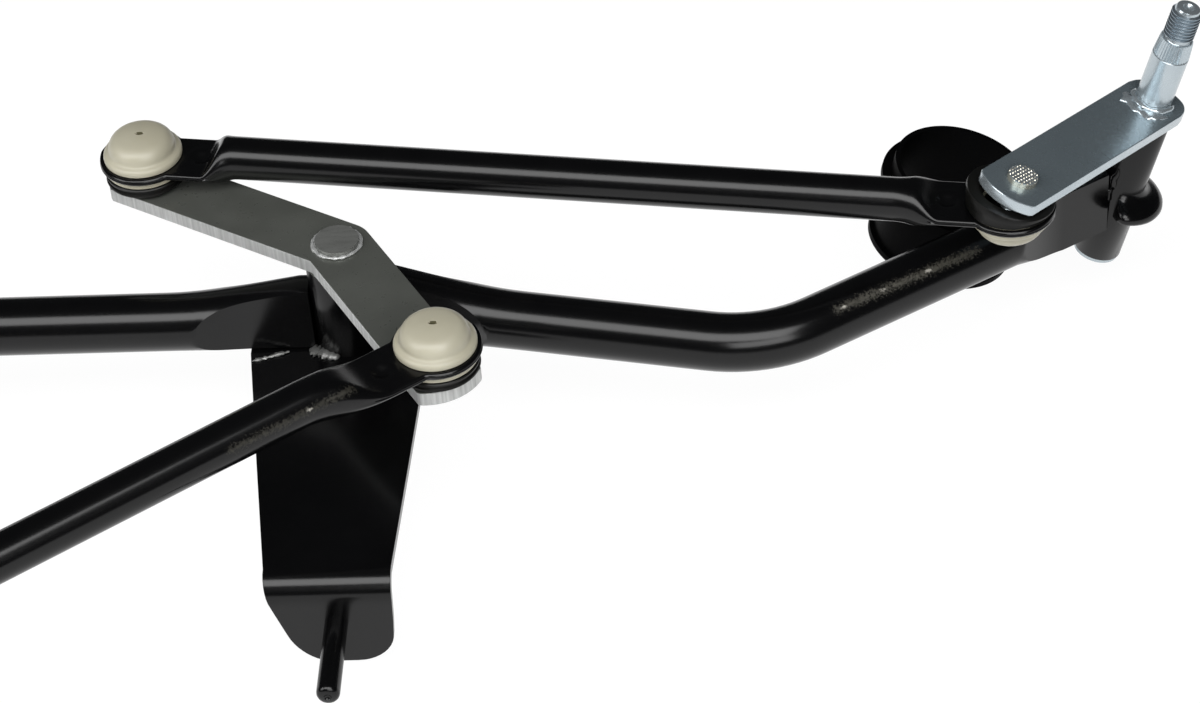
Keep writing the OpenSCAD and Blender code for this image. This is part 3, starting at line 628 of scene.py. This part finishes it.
def frame_tube(name, start, corner, end, start_gap, end_gap):
    start, corner, end = Vector(start), Vector(corner), Vector(end)
    run, rise = (corner - start).normalized(), (end - corner).normalized()
    swing = run.angle(rise)
    spin = 1 if run.cross(rise).z > 0 else -1
    back = BEND_R * math.tan(swing / 2)
    rings = []

    def add(centre, along, press=0.0, grow=0.0, lift=0.0):
        side = Vector((-along.y, along.x, 0))
        tall = TUBE_R + (FLAT_TALL - TUBE_R) * grow
        half = tall + (FLAT_HALF - tall) * press
        rings.append(pressed_ring(centre + UP * (lift * grow), side, half, tall))

    first = (corner - start).length - back
    second = (end - corner).length - back
    for d in [start_gap, *INNER_STATIONS, first - 10, first]:
        share = share_of((SWELL_FROM - d) / SWELL_RUN)
        press = 1 - (1 - share_of((INNER_PRESS_FROM - d) / INNER_PRESS_RUN)) ** 3
        add(start + run * d, run, press, share * share * (1.7 - 0.7 * share), FLAT_TALL - TUBE_R)
    bend_start = corner - run * back
    centre = bend_start + Vector((-run.y, run.x, 0)) * (BEND_R * spin)
    for k in range(1, BEND_STEPS):
        turn = Matrix.Rotation(swing * k / BEND_STEPS * spin, 3, "Z")
        add(centre + turn @ (bend_start - centre), turn @ run)
    for d in [second, second - 10, *OUTER_STATIONS, end_gap]:
        share = share_of((OUTER_PRESS_FROM - d) / OUTER_PRESS_RUN)
        add(end - rise * d, rise, 1 - (1 - share) ** 2, share)
    return swept(name, rings, smooth=28)


right_tube = frame_tube("right_tube", (0, 5.5, TUBE_Z), (135, -22.6, TUBE_Z), RIGHT_PIVOT, 9.6, 8.2)
dress(right_tube, "frame", "black_paint", WORN_AND_SHEEN_PAINT, "right_frame_tube")
left_tube = frame_tube("left_tube", (0, -2, TUBE_Z), (-310, -1.5, TUBE_Z), LEFT_PIVOT, 10.6, 8.2)
dress(left_tube, "frame", "black_paint", BLACK_PAINT, "left_frame_tube")
print("tubes", len(right_tube.data.polygons), len(left_tube.data.polygons))

# %% [markdown]
# The bracket is one plate, folded down at the front into a foot that carries the locating pin. It is swept as
# a thin oblong along its side view, narrower towards the fold and with rounded lower corners.

# %% Bracket
THICK = 3.0
REACH = -114.0
FRONT = Vector((0, -1, 0))
FOLD_R, FOLD_STEPS, FOLD_NARROWING = 7.5, 6, 1.3
CORNER_DEPTH, CORNER_STEPS = 11.4, 10
LEFT_CORNER, LEFT_SLANT, RIGHT_CORNER = 9, 0.3, 12
PLATE_SIDES = [(15, -31.9, 27.5), (-7.5, -31.9, 26), (-15, -30.9, 25.5), (-60, -24.6, 23.4),
               (-106.5, -17.9, 21.1)]
FOOT_SIDES = [(-48, -16.0, 21.0), (-55, -13.8, 20.7), (-60, -12.2, 20.3)]


def bracket_ring(y, z, normal, left, right):
    inward = normal * THICK
    a, b = Vector((left, y, z)), Vector((right, y, z))
    return [a, b, b - inward, a - inward]


rings = [bracket_ring(y, PLATE_TOP, UP, left, right) for y, left, right in PLATE_SIDES]
fold_y, fold_left, fold_right = PLATE_SIDES[-1]
for k in range(1, FOLD_STEPS + 1):
    a = math.pi / 2 * k / FOLD_STEPS
    normal = Vector((0, -math.sin(a), math.cos(a)))
    place = Vector((0, fold_y, PLATE_TOP - FOLD_R)) + normal * FOLD_R
    left = fold_left + FOLD_NARROWING * (k / FOLD_STEPS) ** 2
    rings.append(bracket_ring(place.y, place.z, normal, left, fold_right))
rings += [bracket_ring(REACH, z, FRONT, left, right) for z, left, right in FOOT_SIDES]
foot_z, foot_left, foot_right = FOOT_SIDES[-1]
for k in range(1, CORNER_STEPS + 1):
    a = math.pi / 2 * k / CORNER_STEPS
    depth, inset = CORNER_DEPTH * math.sin(a), 1 - math.cos(a)
    left = foot_left + LEFT_SLANT * depth + LEFT_CORNER * inset
    rings.append(bracket_ring(REACH, foot_z - depth, FRONT, left, foot_right - RIGHT_CORNER * inset))
bracket = soften(swept("bracket", rings), 0.5, angle=50)
dress(bracket, "frame", "black_paint", BLACK_PAINT, "center_bracket")
print("bracket", len(bracket.data.polygons))

# %% [markdown]
# The locating pin is a turned bar. A thinner spigot sits in the foot, and the free end is rounded with a
# small centre hole, as a lathe leaves it.

# %% Locating pin
PIN_PROFILE = [(0.3, -3), (3.1, -3), (3.1, 0), (3.6, 0), (3.6, 28.0), (3.45, 28.8), (3.0, 29.5), (2.3, 29.9),
               (1.2, 30), (0.9, 29.6), (0.2, 29.3)]
pin_turn = Matrix.Translation(PIN_ROOT) @ Matrix.Rotation(math.pi / 2, 4, "X")
pin = turned("foot_pin", PIN_PROFILE, pin_turn, 48)
dress(pin, "frame", "black_paint", BLACK_PAINT, "locating_pin")
print("pin", len(pin.data.polygons))

# %% [markdown]
# The bellcrank is cut from thick plate: two straight arms that meet in a sharp inner corner, with a round
# outer corner and ends that are shallow arcs. The plating is dull on its faces and bright on the cut edges,
# so the edge faces take a second material.

# %% Bellcrank
ARM_HALF = 11
INNER_REACH = 11.37
CORNER_TURNS = 6


def arm_end(length, half, degrees, over=11, radius=18, corner=0.5, steps=33):
    # An arc across the end of an arm, this far over the hole's centre, with small round corners
    points = []
    turn = Matrix.Rotation(math.radians(degrees), 2)
    for k in range(steps):
        y = -half + 2 * half * k / (steps - 1)
        x = length + over - radius + math.sqrt(radius * radius - y * y)
        cut = max(corner - (half - abs(y)), 0.0)
        x -= corner - math.sqrt(corner * corner - cut * cut)
        points.append(turn @ Vector((x, y)))
    return points


def bright_edges(piece, axis, material):
    piece.data.materials.append(material)
    for face in piece.data.polygons:
        if abs(face.normal.dot(axis)) < 0.8:
            face.material_index = 1


first, last = DRIVE_ARM_TURN + 90, RIGHT_ARM_TURN - 90
outline = arm_end(DRIVE_ARM, ARM_HALF, DRIVE_ARM_TURN)
for k in range(CORNER_TURNS + 1):
    outline.append(polar(ARM_HALF, first + (last - first) * k / CORNER_TURNS).to_2d())
outline += arm_end(RIGHT_ARM, ARM_HALF, RIGHT_ARM_TURN)
outline.append(polar(INNER_REACH, (first + last) / 2 + 180).to_2d())
bell = plate("bellcrank", outline, -5, 0, HERE)
dress(bell, "bellcrank", "dull_zinc", DULL_ZINC, "bellcrank_plate")
bright_edges(bell, UP, CUT_ZINC)
print("bellcrank", len(bell.data.polygons))

# %% [markdown]
# The two cranks are cut the same way from thinner plate, with a square end at the ball and a rounder one at
# the shaft.

# %% Cranks
CRANK_HALF = 10.75
for side, axis in CRANK_AXIS.items():
    degrees = CRANK_TURN[side]
    shape = arm_end(CRANK_ARM, CRANK_HALF, degrees)
    shape += arm_end(0, CRANK_HALF, degrees - 180, over=9, corner=4.5)
    arm = plate(side + "_crank", shape, -4, 0, pivot_matrix(side))
    dress(arm, side + "_crank", "bright_zinc", CRANK_ZINC, side + "_crank_arm")
    bright_edges(arm, axis, BRIGHT_ZINC)
    print(arm.name, len(arm.data.polygons))

# %% [markdown]
# A link is a thin tube whose ends are pressed double into round eyes. The sweep runs from the far rim of one
# eye to the far rim of the other. A shallow groove round the flat part is the line between the two layers, and
# the press leaves a round dent with a low rim where the tube starts.

# %% Links
EYE_R = 14.3
EYE_HALF = 1.2
NECK_HALF = 10.31
NECK_END = 20
GROOVE = 0.4
LINK_R = 7.0
DENT_AT, DENT_R, DENT_DEEP = 19.5, 2.5, 1.5
RIM_R, RIM_WIDE, RIM_HIGH = 4.0, 1.1, 0.45


def flat_ring(centre, side, up, half, spread, notch):
    ring = []
    for end in (1, -1):
        for k in range(19):
            a = math.pi * (k / 18 - 0.5)
            pull = notch if k == 9 else 0.0
            x = spread + (half - pull) * math.cos(a)
            ring.append(centre + side * (end * x) + up * (end * half * math.sin(a)))
        for k in range(1, 14):
            ring.append(centre + side * (end * spread * (1 - k / 7)) + up * (end * half))
    return ring


def eye_frame(along, across, up, axis):
    # The eye's own directions: along the link as far as its axis lets it, across it and up the axis
    lean = math.atan2(axis.dot(along), axis.dot(up))
    x = along * math.cos(lean) - up * math.sin(lean)
    return x, axis.cross(x), axis.copy()


def ease(value):
    value = share_of(value)
    return value * value * (3 - 2 * value)


def dimpled(p, eye, x, y, z):
    if (p - eye).dot(z) < 0.5 * EYE_HALF:
        return p
    far = math.hypot((p - eye).dot(x) - DENT_AT, (p - eye).dot(y))
    rim = RIM_HIGH * math.exp(-((far - RIM_R) / RIM_WIDE) ** 2)
    return p + z * (rim - DENT_DEEP * math.exp(-(far / DENT_R) ** 2))


def half_link(eye, along, across, up, axis, flip, over, run):
    # Rim, eye and neck, then the swelling to the round tube, which lies this much over the eye
    x, y, z = eye_frame(along, across, up, axis)
    x *= flip
    rings = []
    for k in range(1, 17):
        t = math.pi / 2 * k / 16
        wide = EYE_R * math.sin(t)
        half = min(EYE_HALF, wide)
        rings.append(flat_ring(eye - x * (EYE_R * math.cos(t)), y, z, half, wide - half, GROOVE))
    for k in range(1, 29):
        u = NECK_END * k / 28
        wide = max(math.sqrt(max(EYE_R ** 2 - u ** 2, 0)), NECK_HALF)
        ring = flat_ring(eye + x * u, y, z, EYE_HALF, wide - EYE_HALF, GROOVE)
        rings.append([dimpled(p, eye, x, y, z) for p in ring])
    for k in range(1, 33):
        u = NECK_END + (run + 2) * k / 32
        bend = ease((u - NECK_END - 1) / run)
        tall = ease((u - NECK_END - 1.5) / (run * 0.62))
        half = EYE_HALF + (LINK_R - EYE_HALF) * tall
        wide = NECK_HALF + (LINK_R - NECK_HALF) * bend
        centre = (eye + x * u).lerp(eye + along * (flip * u) + up * over, bend)
        side, top = y.lerp(across, bend), z.lerp(up, bend)
        ring = flat_ring(centre, side, top, half, max(wide - half, 0), GROOVE * (1 - bend))
        rings.append([dimpled(p, eye, x, y, z) for p in ring])
    return rings


def link_tube(name, a, b, axis_a, axis_b, over, run=(15, 15)):
    along = (b - a).normalized()
    across = UP.cross(along).normalized()
    up = along.cross(across)
    rings = half_link(a, along, across, up, axis_a or up, 1, over[0], run[0])
    far = half_link(b, along, across, up, axis_b or up, -1, over[1], run[1])
    return swept(name, rings + far[::-1], smooth=50)


right_link = link_tube("right_link", LINK_A, RIGHT_EYE, UP, None, (2.0, 0.6), (11, 15))
dress(right_link, "right_link", "black_paint", BLACK_PAINT, "right_link_tube")
# The drive link's lighter streak along its front is a painted reflection, not wear.
drive_link = link_tube("drive_link", LINK_B, MOTOR_HIGH, UP, UP, (4.2, 3.4), (28, 18))
dress(drive_link, "drive_link", "black_paint", WORN_AND_SHEEN_PAINT, "drive_link_tube")
left_link = link_tube("left_link", LEFT_EYE, MOTOR_LOW, LEFT_AXIS, UP, (2.0, 2.0))
dress(left_link, "left_link", "black_paint", BLACK_PAINT, "left_link_tube")
print("links", len(right_link.data.polygons))

# %% [markdown]
# A nylon socket snaps through each eye: a domed cap on one side, a flange on the other, and a hollow for the
# ball. A black rubber ring keeps water out below the flange. All are turned shapes, so each is first a profile
# of radius and height. The socket under the right crank has a wider hollow, because its ball has play.

# %% Profiles of sockets and seals
CROWN_R, CROWN_TOP = 32.6, 9.92
SHOULDER_R, SHOULDER_AT, SHOULDER_SWEEP = 4.6, 6.3, 75
HOLLOW_R, HOLLOW_Z = 6.05, 2
HOLLOW_FROM, HOLLOW_TO = 2, 119.5
FLANGE_LOW = -3.6


def dome_profile():
    # From the eye up: a thick rim, a soft hollow, a round shoulder and a low crown with the gate's slit
    points = [(12.5, 1.2), (12.8, 1.5), (12.85, 2.3), (12.75, 2.9), (12.4, 3.4), (11.9, 3.72), (11.4, 3.95),
              (11.1, 4.2)]
    for k in range(10):
        a = math.radians(SHOULDER_SWEEP * k / 9)
        points.append((SHOULDER_AT + SHOULDER_R * math.cos(a), SHOULDER_R + SHOULDER_R * math.sin(a)))
    for r in (6.4, 5.2, 4.0, 2.8, 1.9):
        points.append((r, CROWN_TOP - CROWN_R + math.sqrt(CROWN_R ** 2 - r * r)))
    return points + [(1.45, 9.86, 0.55), (1.25, 9.5, 0.5), (1.05, 8.7, 0.5), (0.2, 8.6, 0.5)]


def snug_profile():
    inside = []
    for k in range(13):
        a = math.radians(HOLLOW_FROM + (HOLLOW_TO - HOLLOW_FROM) * k / 12)
        inside.append((HOLLOW_R * math.sin(a), HOLLOW_Z + HOLLOW_R * math.cos(a)))
    rim = [(5.16, FLANGE_LOW), (12.2, FLANGE_LOW), (12.8, -3.1), (12.8, -1.2), (9.2, -1.2), (9.2, 1.2)]
    return inside + rim + dome_profile()


def play_profile():
    inside = [(0.3, 7.7), (3.2, 7.7)]
    for k in range(1, 9):
        a = math.pi / 2 * (1 - k / 8)
        inside.append((3.2 + 5.7 * math.cos(a), HOLLOW_Z + 5.7 * math.sin(a)))
    rim = [(8.9, -2.0), (12.5, -2.0), (12.8, -1.8), (12.8, -1.2), (9.95, -1.2), (9.95, 1.2)]
    return inside + rim + dome_profile()


def seal_profile(height):
    top, low = FLANGE_LOW, FLANGE_LOW - height
    return [(6.6, top), (12.9, top), (13.2, -3.9), (13.1, -4.4), (12.5, -4.7), (12.5, low + 1.2),
            (13.1, low + 0.9), (13.2, low + 0.4), (12.8, low), (6.6, low)]


print("profile points", len(snug_profile()), len(play_profile()), len(seal_profile(3)))

# %% [markdown]
# Each socket is turned about the axis of its ball, and hangs upside down where the link runs below its crank.
# The few faces in the gate's slit take a darker tone.

# %% Sockets and seals
GATE_HEIGHT, GATE_REACH = 9.0, 1.25
HIGH_SEAL, LOW_SEAL = 3.2, 2.5


def axis_matrix(centre, axis, flip):
    z = axis * flip
    x = Vector((0, 1, 0)).cross(z).normalized()
    y = z.cross(x)
    return Matrix.Translation(centre) @ Matrix((x, y, z)).transposed().to_4x4()


def socket(link, end, matrix, profile):
    cap = turned(link + "_" + end + "_cap", profile, matrix)
    dress(cap, link, "nylon", NYLON, link + "_" + end + "_socket")
    cap.data.materials.append(GATE_SHADE)
    gate = metres(matrix @ Vector((0, 0, GATE_HEIGHT)))
    for face in cap.data.polygons:
        if (face.center - gate).length < GATE_REACH * MM:
            face.material_index = 1


def joint(link, end, centre, axis, flip, height):
    matrix = axis_matrix(centre, axis, flip)
    socket(link, end, matrix, snug_profile())
    seal = ring_turned(link + "_" + end + "_ring", seal_profile(height), matrix)
    dress(seal, link, "rubber", RUBBER, link + "_" + end + "_seal")


joint("right_link", "inner", LINK_A, UP, 1, HIGH_SEAL)
joint("drive_link", "inner", LINK_B, UP, 1, HIGH_SEAL)
joint("drive_link", "motor", MOTOR_HIGH, UP, 1, HIGH_SEAL)
joint("left_link", "outer", LEFT_EYE, LEFT_AXIS, -1, LOW_SEAL)
joint("left_link", "motor", MOTOR_LOW, UP, -1, LOW_SEAL)

# %% [markdown]
# The right crank leans against its link, so the seal between them is tall on one side and low on the other.
# It is swept round the eye, and each section reaches up to the plane under the crank.

# %% Socket and seal of the right crank
SEAL_STEPS = 64
SEAL_LOW = 2.0
link_line = (RIGHT_EYE - LINK_A).normalized()
link_side = UP.cross(link_line).normalized()
link_normal = link_line.cross(link_side)
socket("right_link", "outer", axis_matrix(RIGHT_EYE, link_normal, -1), play_profile())
crank_low = pivot_matrix("right") @ Vector((0, 0, -5.3))


def seal_top(spoke, radius):
    foot = RIGHT_EYE + spoke * radius
    return (crank_low - foot).dot(RIGHT_AXIS) / link_normal.dot(RIGHT_AXIS)


rings = []
for k in range(SEAL_STEPS):
    a = 2 * math.pi * k / SEAL_STEPS
    spoke = link_line * math.cos(a) + link_side * math.sin(a)
    tall = seal_top(spoke, 14) - SEAL_LOW
    wall = [(14.0, 0.12), (13.7, 0.3), (13.95, 0.55), (13.9, 0.85)]
    shape = [(9.7, SEAL_LOW), (13.6, SEAL_LOW)] + [(r, SEAL_LOW + part * tall) for r, part in wall]
    shape += [(r, seal_top(spoke, r)) for r in (13.4, 9.7)]
    rings.append([RIGHT_EYE + spoke * r + link_normal * z for r, z in shape])
tall_seal = swept("right_link_outer_ring", rings, loop=True)
dress(tall_seal, "right_link", "rubber", RUBBER, "right_link_outer_seal")
print("tall seal", len(tall_seal.data.polygons))

# %% [markdown]
# The pivots run in plain turned housings with a small chamfer at each end.

# %% Housings
MIDDLE_HOUSING = [(8.05, -38.5), (10.8, -38.5), (11, -38.2), (11, -6.8), (10.8, -6.5), (8.05, -6.5)]
SIDE_HOUSING = [(6.05, -62.5), (7.8, -62.5), (8, -62.2), (8, -5.8), (7.8, -5.5), (6.05, -5.5)]
housing = ring_turned("middle_housing", MIDDLE_HOUSING, HERE)
dress(housing, "frame", "black_paint", BLACK_PAINT, "center_pivot_housing")
for side in CRANK_AXIS:
    sleeve = ring_turned(side + "_sleeve", SIDE_HOUSING, pivot_matrix(side))
    dress(sleeve, "frame", "black_paint", BLACK_PAINT, side + "_pivot_housing")
print("housing", len(housing.data.polygons), "sleeve", len(sleeve.data.polygons))

# %% [markdown]
# A wiper shaft has a serrated cone for the wiper arm and a thread for its nut. The thread is a real helix,
# made by the Screw modifier from one V of its profile. The cone is a sweep whose rings go in and out.

# %% Thread and serrations
THREAD_LOW, THREAD_HIGH, PITCH = 25.6, 37.1, 1.25
CREST_R, GROOVE_R = 5.0, 4.25
TEETH = 36
TOOTH_TIP, TOOTH_ROOT = 5.95, 5.45
CONE_LOW, CONE_HIGH = 19.0, 25.3


def thread(name, matrix):
    piece = start_circle(name, 4)
    zigzag = [(GROOVE_R, 0), (CREST_R, PITCH * 0.42), (CREST_R, PITCH * 0.58), (GROOVE_R, PITCH)]
    put_ring(piece, [Vector((r * MM, 0, (THREAD_LOW + z) * MM)) for r, z in zigzag])
    mesh = bmesh.from_edit_mesh(piece.data)
    for edge in mesh.edges:
        heights = sorted(v.co.z for v in edge.verts)
        edge.select = heights[1] - heights[0] > PITCH * 0.9 * MM
    bmesh.update_edit_mesh(piece.data)
    bpy.ops.mesh.select_mode(type="EDGE")
    bpy.ops.mesh.delete(type="EDGE_FACE")
    bpy.ops.mesh.select_mode(type="VERT")
    bpy.ops.object.mode_set(mode="OBJECT")
    screw = piece.modifiers.new("helix", "SCREW")
    screw.screw_offset = PITCH * MM
    screw.iterations = int((THREAD_HIGH - THREAD_LOW) / PITCH) - 1
    screw.steps = screw.render_steps = 40
    screw.use_merge_vertices = True
    screw.merge_threshold = 1e-5
    bpy.ops.object.modifier_apply(modifier=screw.name)
    place = Matrix.Translation(-PIN_ROOT * MM) @ Matrix.Scale(MM, 4) @ matrix @ Matrix.Scale(1 / MM, 4)
    piece.data.transform(place)
    bpy.ops.object.mode_set(mode="EDIT")
    close_up(piece, 30)
    return piece


def serrated(name, matrix):
    rings = []
    levels = ((CONE_LOW, 1.0), (CONE_LOW + 0.6, 1.0), (CONE_HIGH - 0.6, 0.925), (CONE_HIGH, 0.9))
    for height, scale in levels:
        ring = []
        for k in range(TEETH * 2):
            a = math.pi * k / TEETH
            r = (TOOTH_TIP if k % 2 else TOOTH_ROOT) * scale
            ring.append(matrix @ Vector((r * math.cos(a), r * math.sin(a), height)))
        rings.append(ring)
    return swept(name, rings, smooth=20)


print("teeth", TEETH, "pitch", PITCH)

# %% [markdown]
# Each shaft is one turned stem, with the teeth and the thread set round it. All three turn with the crank.

# %% Shafts
STEM = [(0.3, -65.9), (4.6, -65.9), (5, -65.5), (5, -0.2), (6, -0.2), (6, 18.7), (5.7, 19), (5.4, 19.1),
        (5.0, 24.7), (4.3, 25.4), (4.2, 25.6), (4.2, 36.6), (3.8, 37.4), (2.0, 37.5), (1.3, 36.6), (0.2, 36.2)]
for side in CRANK_AXIS:
    matrix, body = pivot_matrix(side), side + "_crank"
    stem = turned(side + "_shaft", STEM, matrix)
    dress(stem, body, "bright_zinc", BRIGHT_ZINC, side + "_pivot_shaft")
    dress(serrated(side + "_serrations", matrix), body, "bright_zinc", BRIGHT_ZINC)
    screw_thread = dress(thread(side + "_thread", matrix), body, "bright_zinc", THREAD_ZINC)
    print(screw_thread.name, len(screw_thread.data.polygons))

# %% [markdown]
# A rolled lip stands out from half of each side housing. It is one section swept round the housing, drawn in
# at both ends so that it fades into the tube.

# %% Housing lips
LIP = [(7.9, -33.6), (8.6, -35.0), (9.8, -36.0), (11.4, -36.6), (13.0, -37.0), (14.4, -37.6), (15.3, -38.6),
       (15.6, -39.7), (15.3, -40.7), (14.3, -41.4), (12.0, -41.5), (9.5, -41.2), (7.9, -41.0)]
LIP_ROOT = 7.9
LIP_FROM, LIP_SWEEP, LIP_STEPS = -100, 178, 32


def lip(side):
    matrix = pivot_matrix(side)
    rings = []
    for k in range(LIP_STEPS + 1):
        a = math.radians(LIP_FROM + LIP_SWEEP * k / LIP_STEPS)
        close = 1 - 0.55 * max(0, 1 - min(k, LIP_STEPS - k) / 3) ** 2
        ring = []
        for r, z in LIP:
            spread = LIP_ROOT + (r - LIP_ROOT) * close
            ring.append(matrix @ Vector((spread * math.cos(a), spread * math.sin(a), z)))
        rings.append(ring)
    piece = swept(side + "_lip", rings, smooth=50)
    dress(piece, "frame", "black_paint", BLACK_PAINT, side + "_housing_lip")


for side in CRANK_AXIS:
    lip(side)
print("lips", len(CRANK_AXIS))

# %% [markdown]
# A weld bead is a row of uneven lumps. The helper sweeps a small ring along a line, and seeded random numbers
# change its thickness and its outline, so that every run of the lesson gives the same bead.

# %% Weld beads
BEAD_STEPS = 12


def bead(name, points, radius, seed, loop=False, flat=1.0, wild=1.0):
    rng = random.Random(seed)
    rings = []
    total = len(points)
    for k, place in enumerate(points):
        ahead = points[(k + 1) % total] if loop or k + 1 < total else place
        behind = points[k - 1] if loop or k > 0 else place
        along = (ahead - behind).normalized()
        other = UP if abs(along.z) < 0.9 else Vector((1, 0, 0))
        side = along.cross(other).normalized()
        up = side.cross(along)
        end = 1.0 if loop else min(1.0, 0.35 + min(k, total - 1 - k) * 0.3)
        thick = radius * end * (1 + wild * rng.uniform(-0.3, 0.2))
        ring = []
        for j in range(BEAD_STEPS):
            a = 2 * math.pi * j / BEAD_STEPS
            lump = thick * (1 + wild * rng.uniform(-0.15, 0.12))
            ring.append(place + side * (lump * math.cos(a)) + up * (lump * flat * math.sin(a)))
        rings.append(ring)
    return swept(name, rings, loop=loop, smooth=60)


def line(a, b, count):
    return [Vector(a).lerp(Vector(b), k / (count - 1)) for k in range(count)]


def arc(matrix, radius, start, sweep, height, count):
    lift = Vector((0, 0, height))
    return [matrix @ (polar(radius, start + sweep * k / (count - 1)) + lift) for k in range(count)]


for side in CRANK_AXIS:
    matrix, body = pivot_matrix(side), side + "_crank"
    seam = []
    for k in range(14):
        wander = polar(8.1, 236 + 2 * math.sin(k * 1.3))
        seam.append(matrix @ (wander + Vector((0, 0, -25 - 1.1 * k))))
    dress(bead(side + "_housing_weld", seam, 1.1, 5, wild=0.5), "frame", "black_paint", BLACK_PAINT)
    foot_bead = bead(side + "_shaft_weld", arc(matrix, 6.7, 150, 190, 0.5, 22), 1.3, 9, flat=0.9)
    dress(foot_bead, body, "bright_zinc", BRIGHT_ZINC)
    spill = bead(side + "_weld_spill", arc(matrix, 9.2, 172, 122, 0.1, 20), 2.1, 11, flat=0.4, wild=1.7)
    dress(spill, body, "bright_zinc", BRIGHT_ZINC)

middle_line = line((-12.6, -7.0, -37.9), (-2.6, -11.2, -38.0), 16)
middle_bead = bead("plate_weld_middle", middle_line, 2.3, 3, flat=0.45, wild=1.6)
dress(middle_bead, "frame", "black_paint", BARE_WELD)
left_line = line((-31.0, -11.8, -38.2), (-19.2, -7.8, -38.0), 18)
left_bead = bead("plate_weld_left", left_line, 0.75, 4, flat=0.7, wild=1.7)
dress(left_bead, "frame", "black_paint", BARE_WELD)
pin_weld = bead("pin_weld", arc(HERE, 7.6, 0, 351, 0.45, 40), 0.8, 7, loop=True, flat=0.6, wild=1.3)
dress(pin_weld, "bellcrank", "dull_zinc", CUT_ZINC)
print("last bead", len(pin_weld.data.polygons))

# %% [markdown]
# The tool that rivets the crank's ball stud leaves a waffle print on the head. Its rings run in from the rim
# to the middle, and two crossed waves raise and lower their points.

# %% Rivet heads
HEAD_R, HEAD_HIGH = 4.75, 2.2
HEAD_STEPS, PRINT_RINGS = 64, 24
PRINT_DEEP, PRINT_WAVE = 0.42, 3.6


def waffle_head(name, matrix, place):
    levels = [(HEAD_R, -0.2), (HEAD_R, HEAD_HIGH - 0.5)]
    levels += [(HEAD_R * (0.97 - 0.95 * k / (PRINT_RINGS - 1)), None) for k in range(PRINT_RINGS)]
    rings = []
    for r, level in levels:
        ring = []
        for k in range(HEAD_STEPS):
            a = 2 * math.pi * k / HEAD_STEPS
            x, y, z = r * math.cos(a), r * math.sin(a), level
            if level is None:
                z = HEAD_HIGH - 0.3 + PRINT_DEEP * math.cos(PRINT_WAVE * x) * math.cos(PRINT_WAVE * y)
            ring.append(matrix @ (place + Vector((x, y, z))))
        rings.append(ring)
    return swept(name, rings, smooth=25)


for side in CRANK_AXIS:
    head = waffle_head(side + "_rivet_print", pivot_matrix(side), polar(CRANK_ARM, CRANK_TURN[side]))
    dress(head, side + "_crank", "bright_zinc", RIVET_ZINC)
    print(head.name, len(head.data.polygons))

# %% [markdown]
# The smaller solids are already right in shape, so they stay and only take a finish. Most take the one of
# their slot, and three have a finish of their own; on the two collars it is a shaded copy of the paint, as
# painted shade.

# %% Finish the solids that stay
FINISH_BY_SLOT = {"black_paint": BLACK_PAINT, "dull_zinc": DULL_ZINC, "bright_zinc": BRIGHT_ZINC,
                  "nylon": NYLON, "rubber": RUBBER, "bronze": BRONZE}
FINISH_BY_NODE = {"right_mount_collar": SHADED_PAINT, "left_mount_collar": SHADED_PAINT,
                  "center_pivot_pin": HEAD_ZINC}
for entry in frame["record"]["subparts"]:
    node = frame["nodes"][entry["node"]]
    if node.hide_render:
        continue
    node.data.materials.clear()
    own = FINISH_BY_NODE.get(entry["node"], FINISH_BY_SLOT[entry["material_slot"]])
    node.data.materials.append(own)
print("solids that stay", sum(not o.hide_render for o in frame["nodes"].values()))

# %% Back to object mode, nothing selected
start_clean()
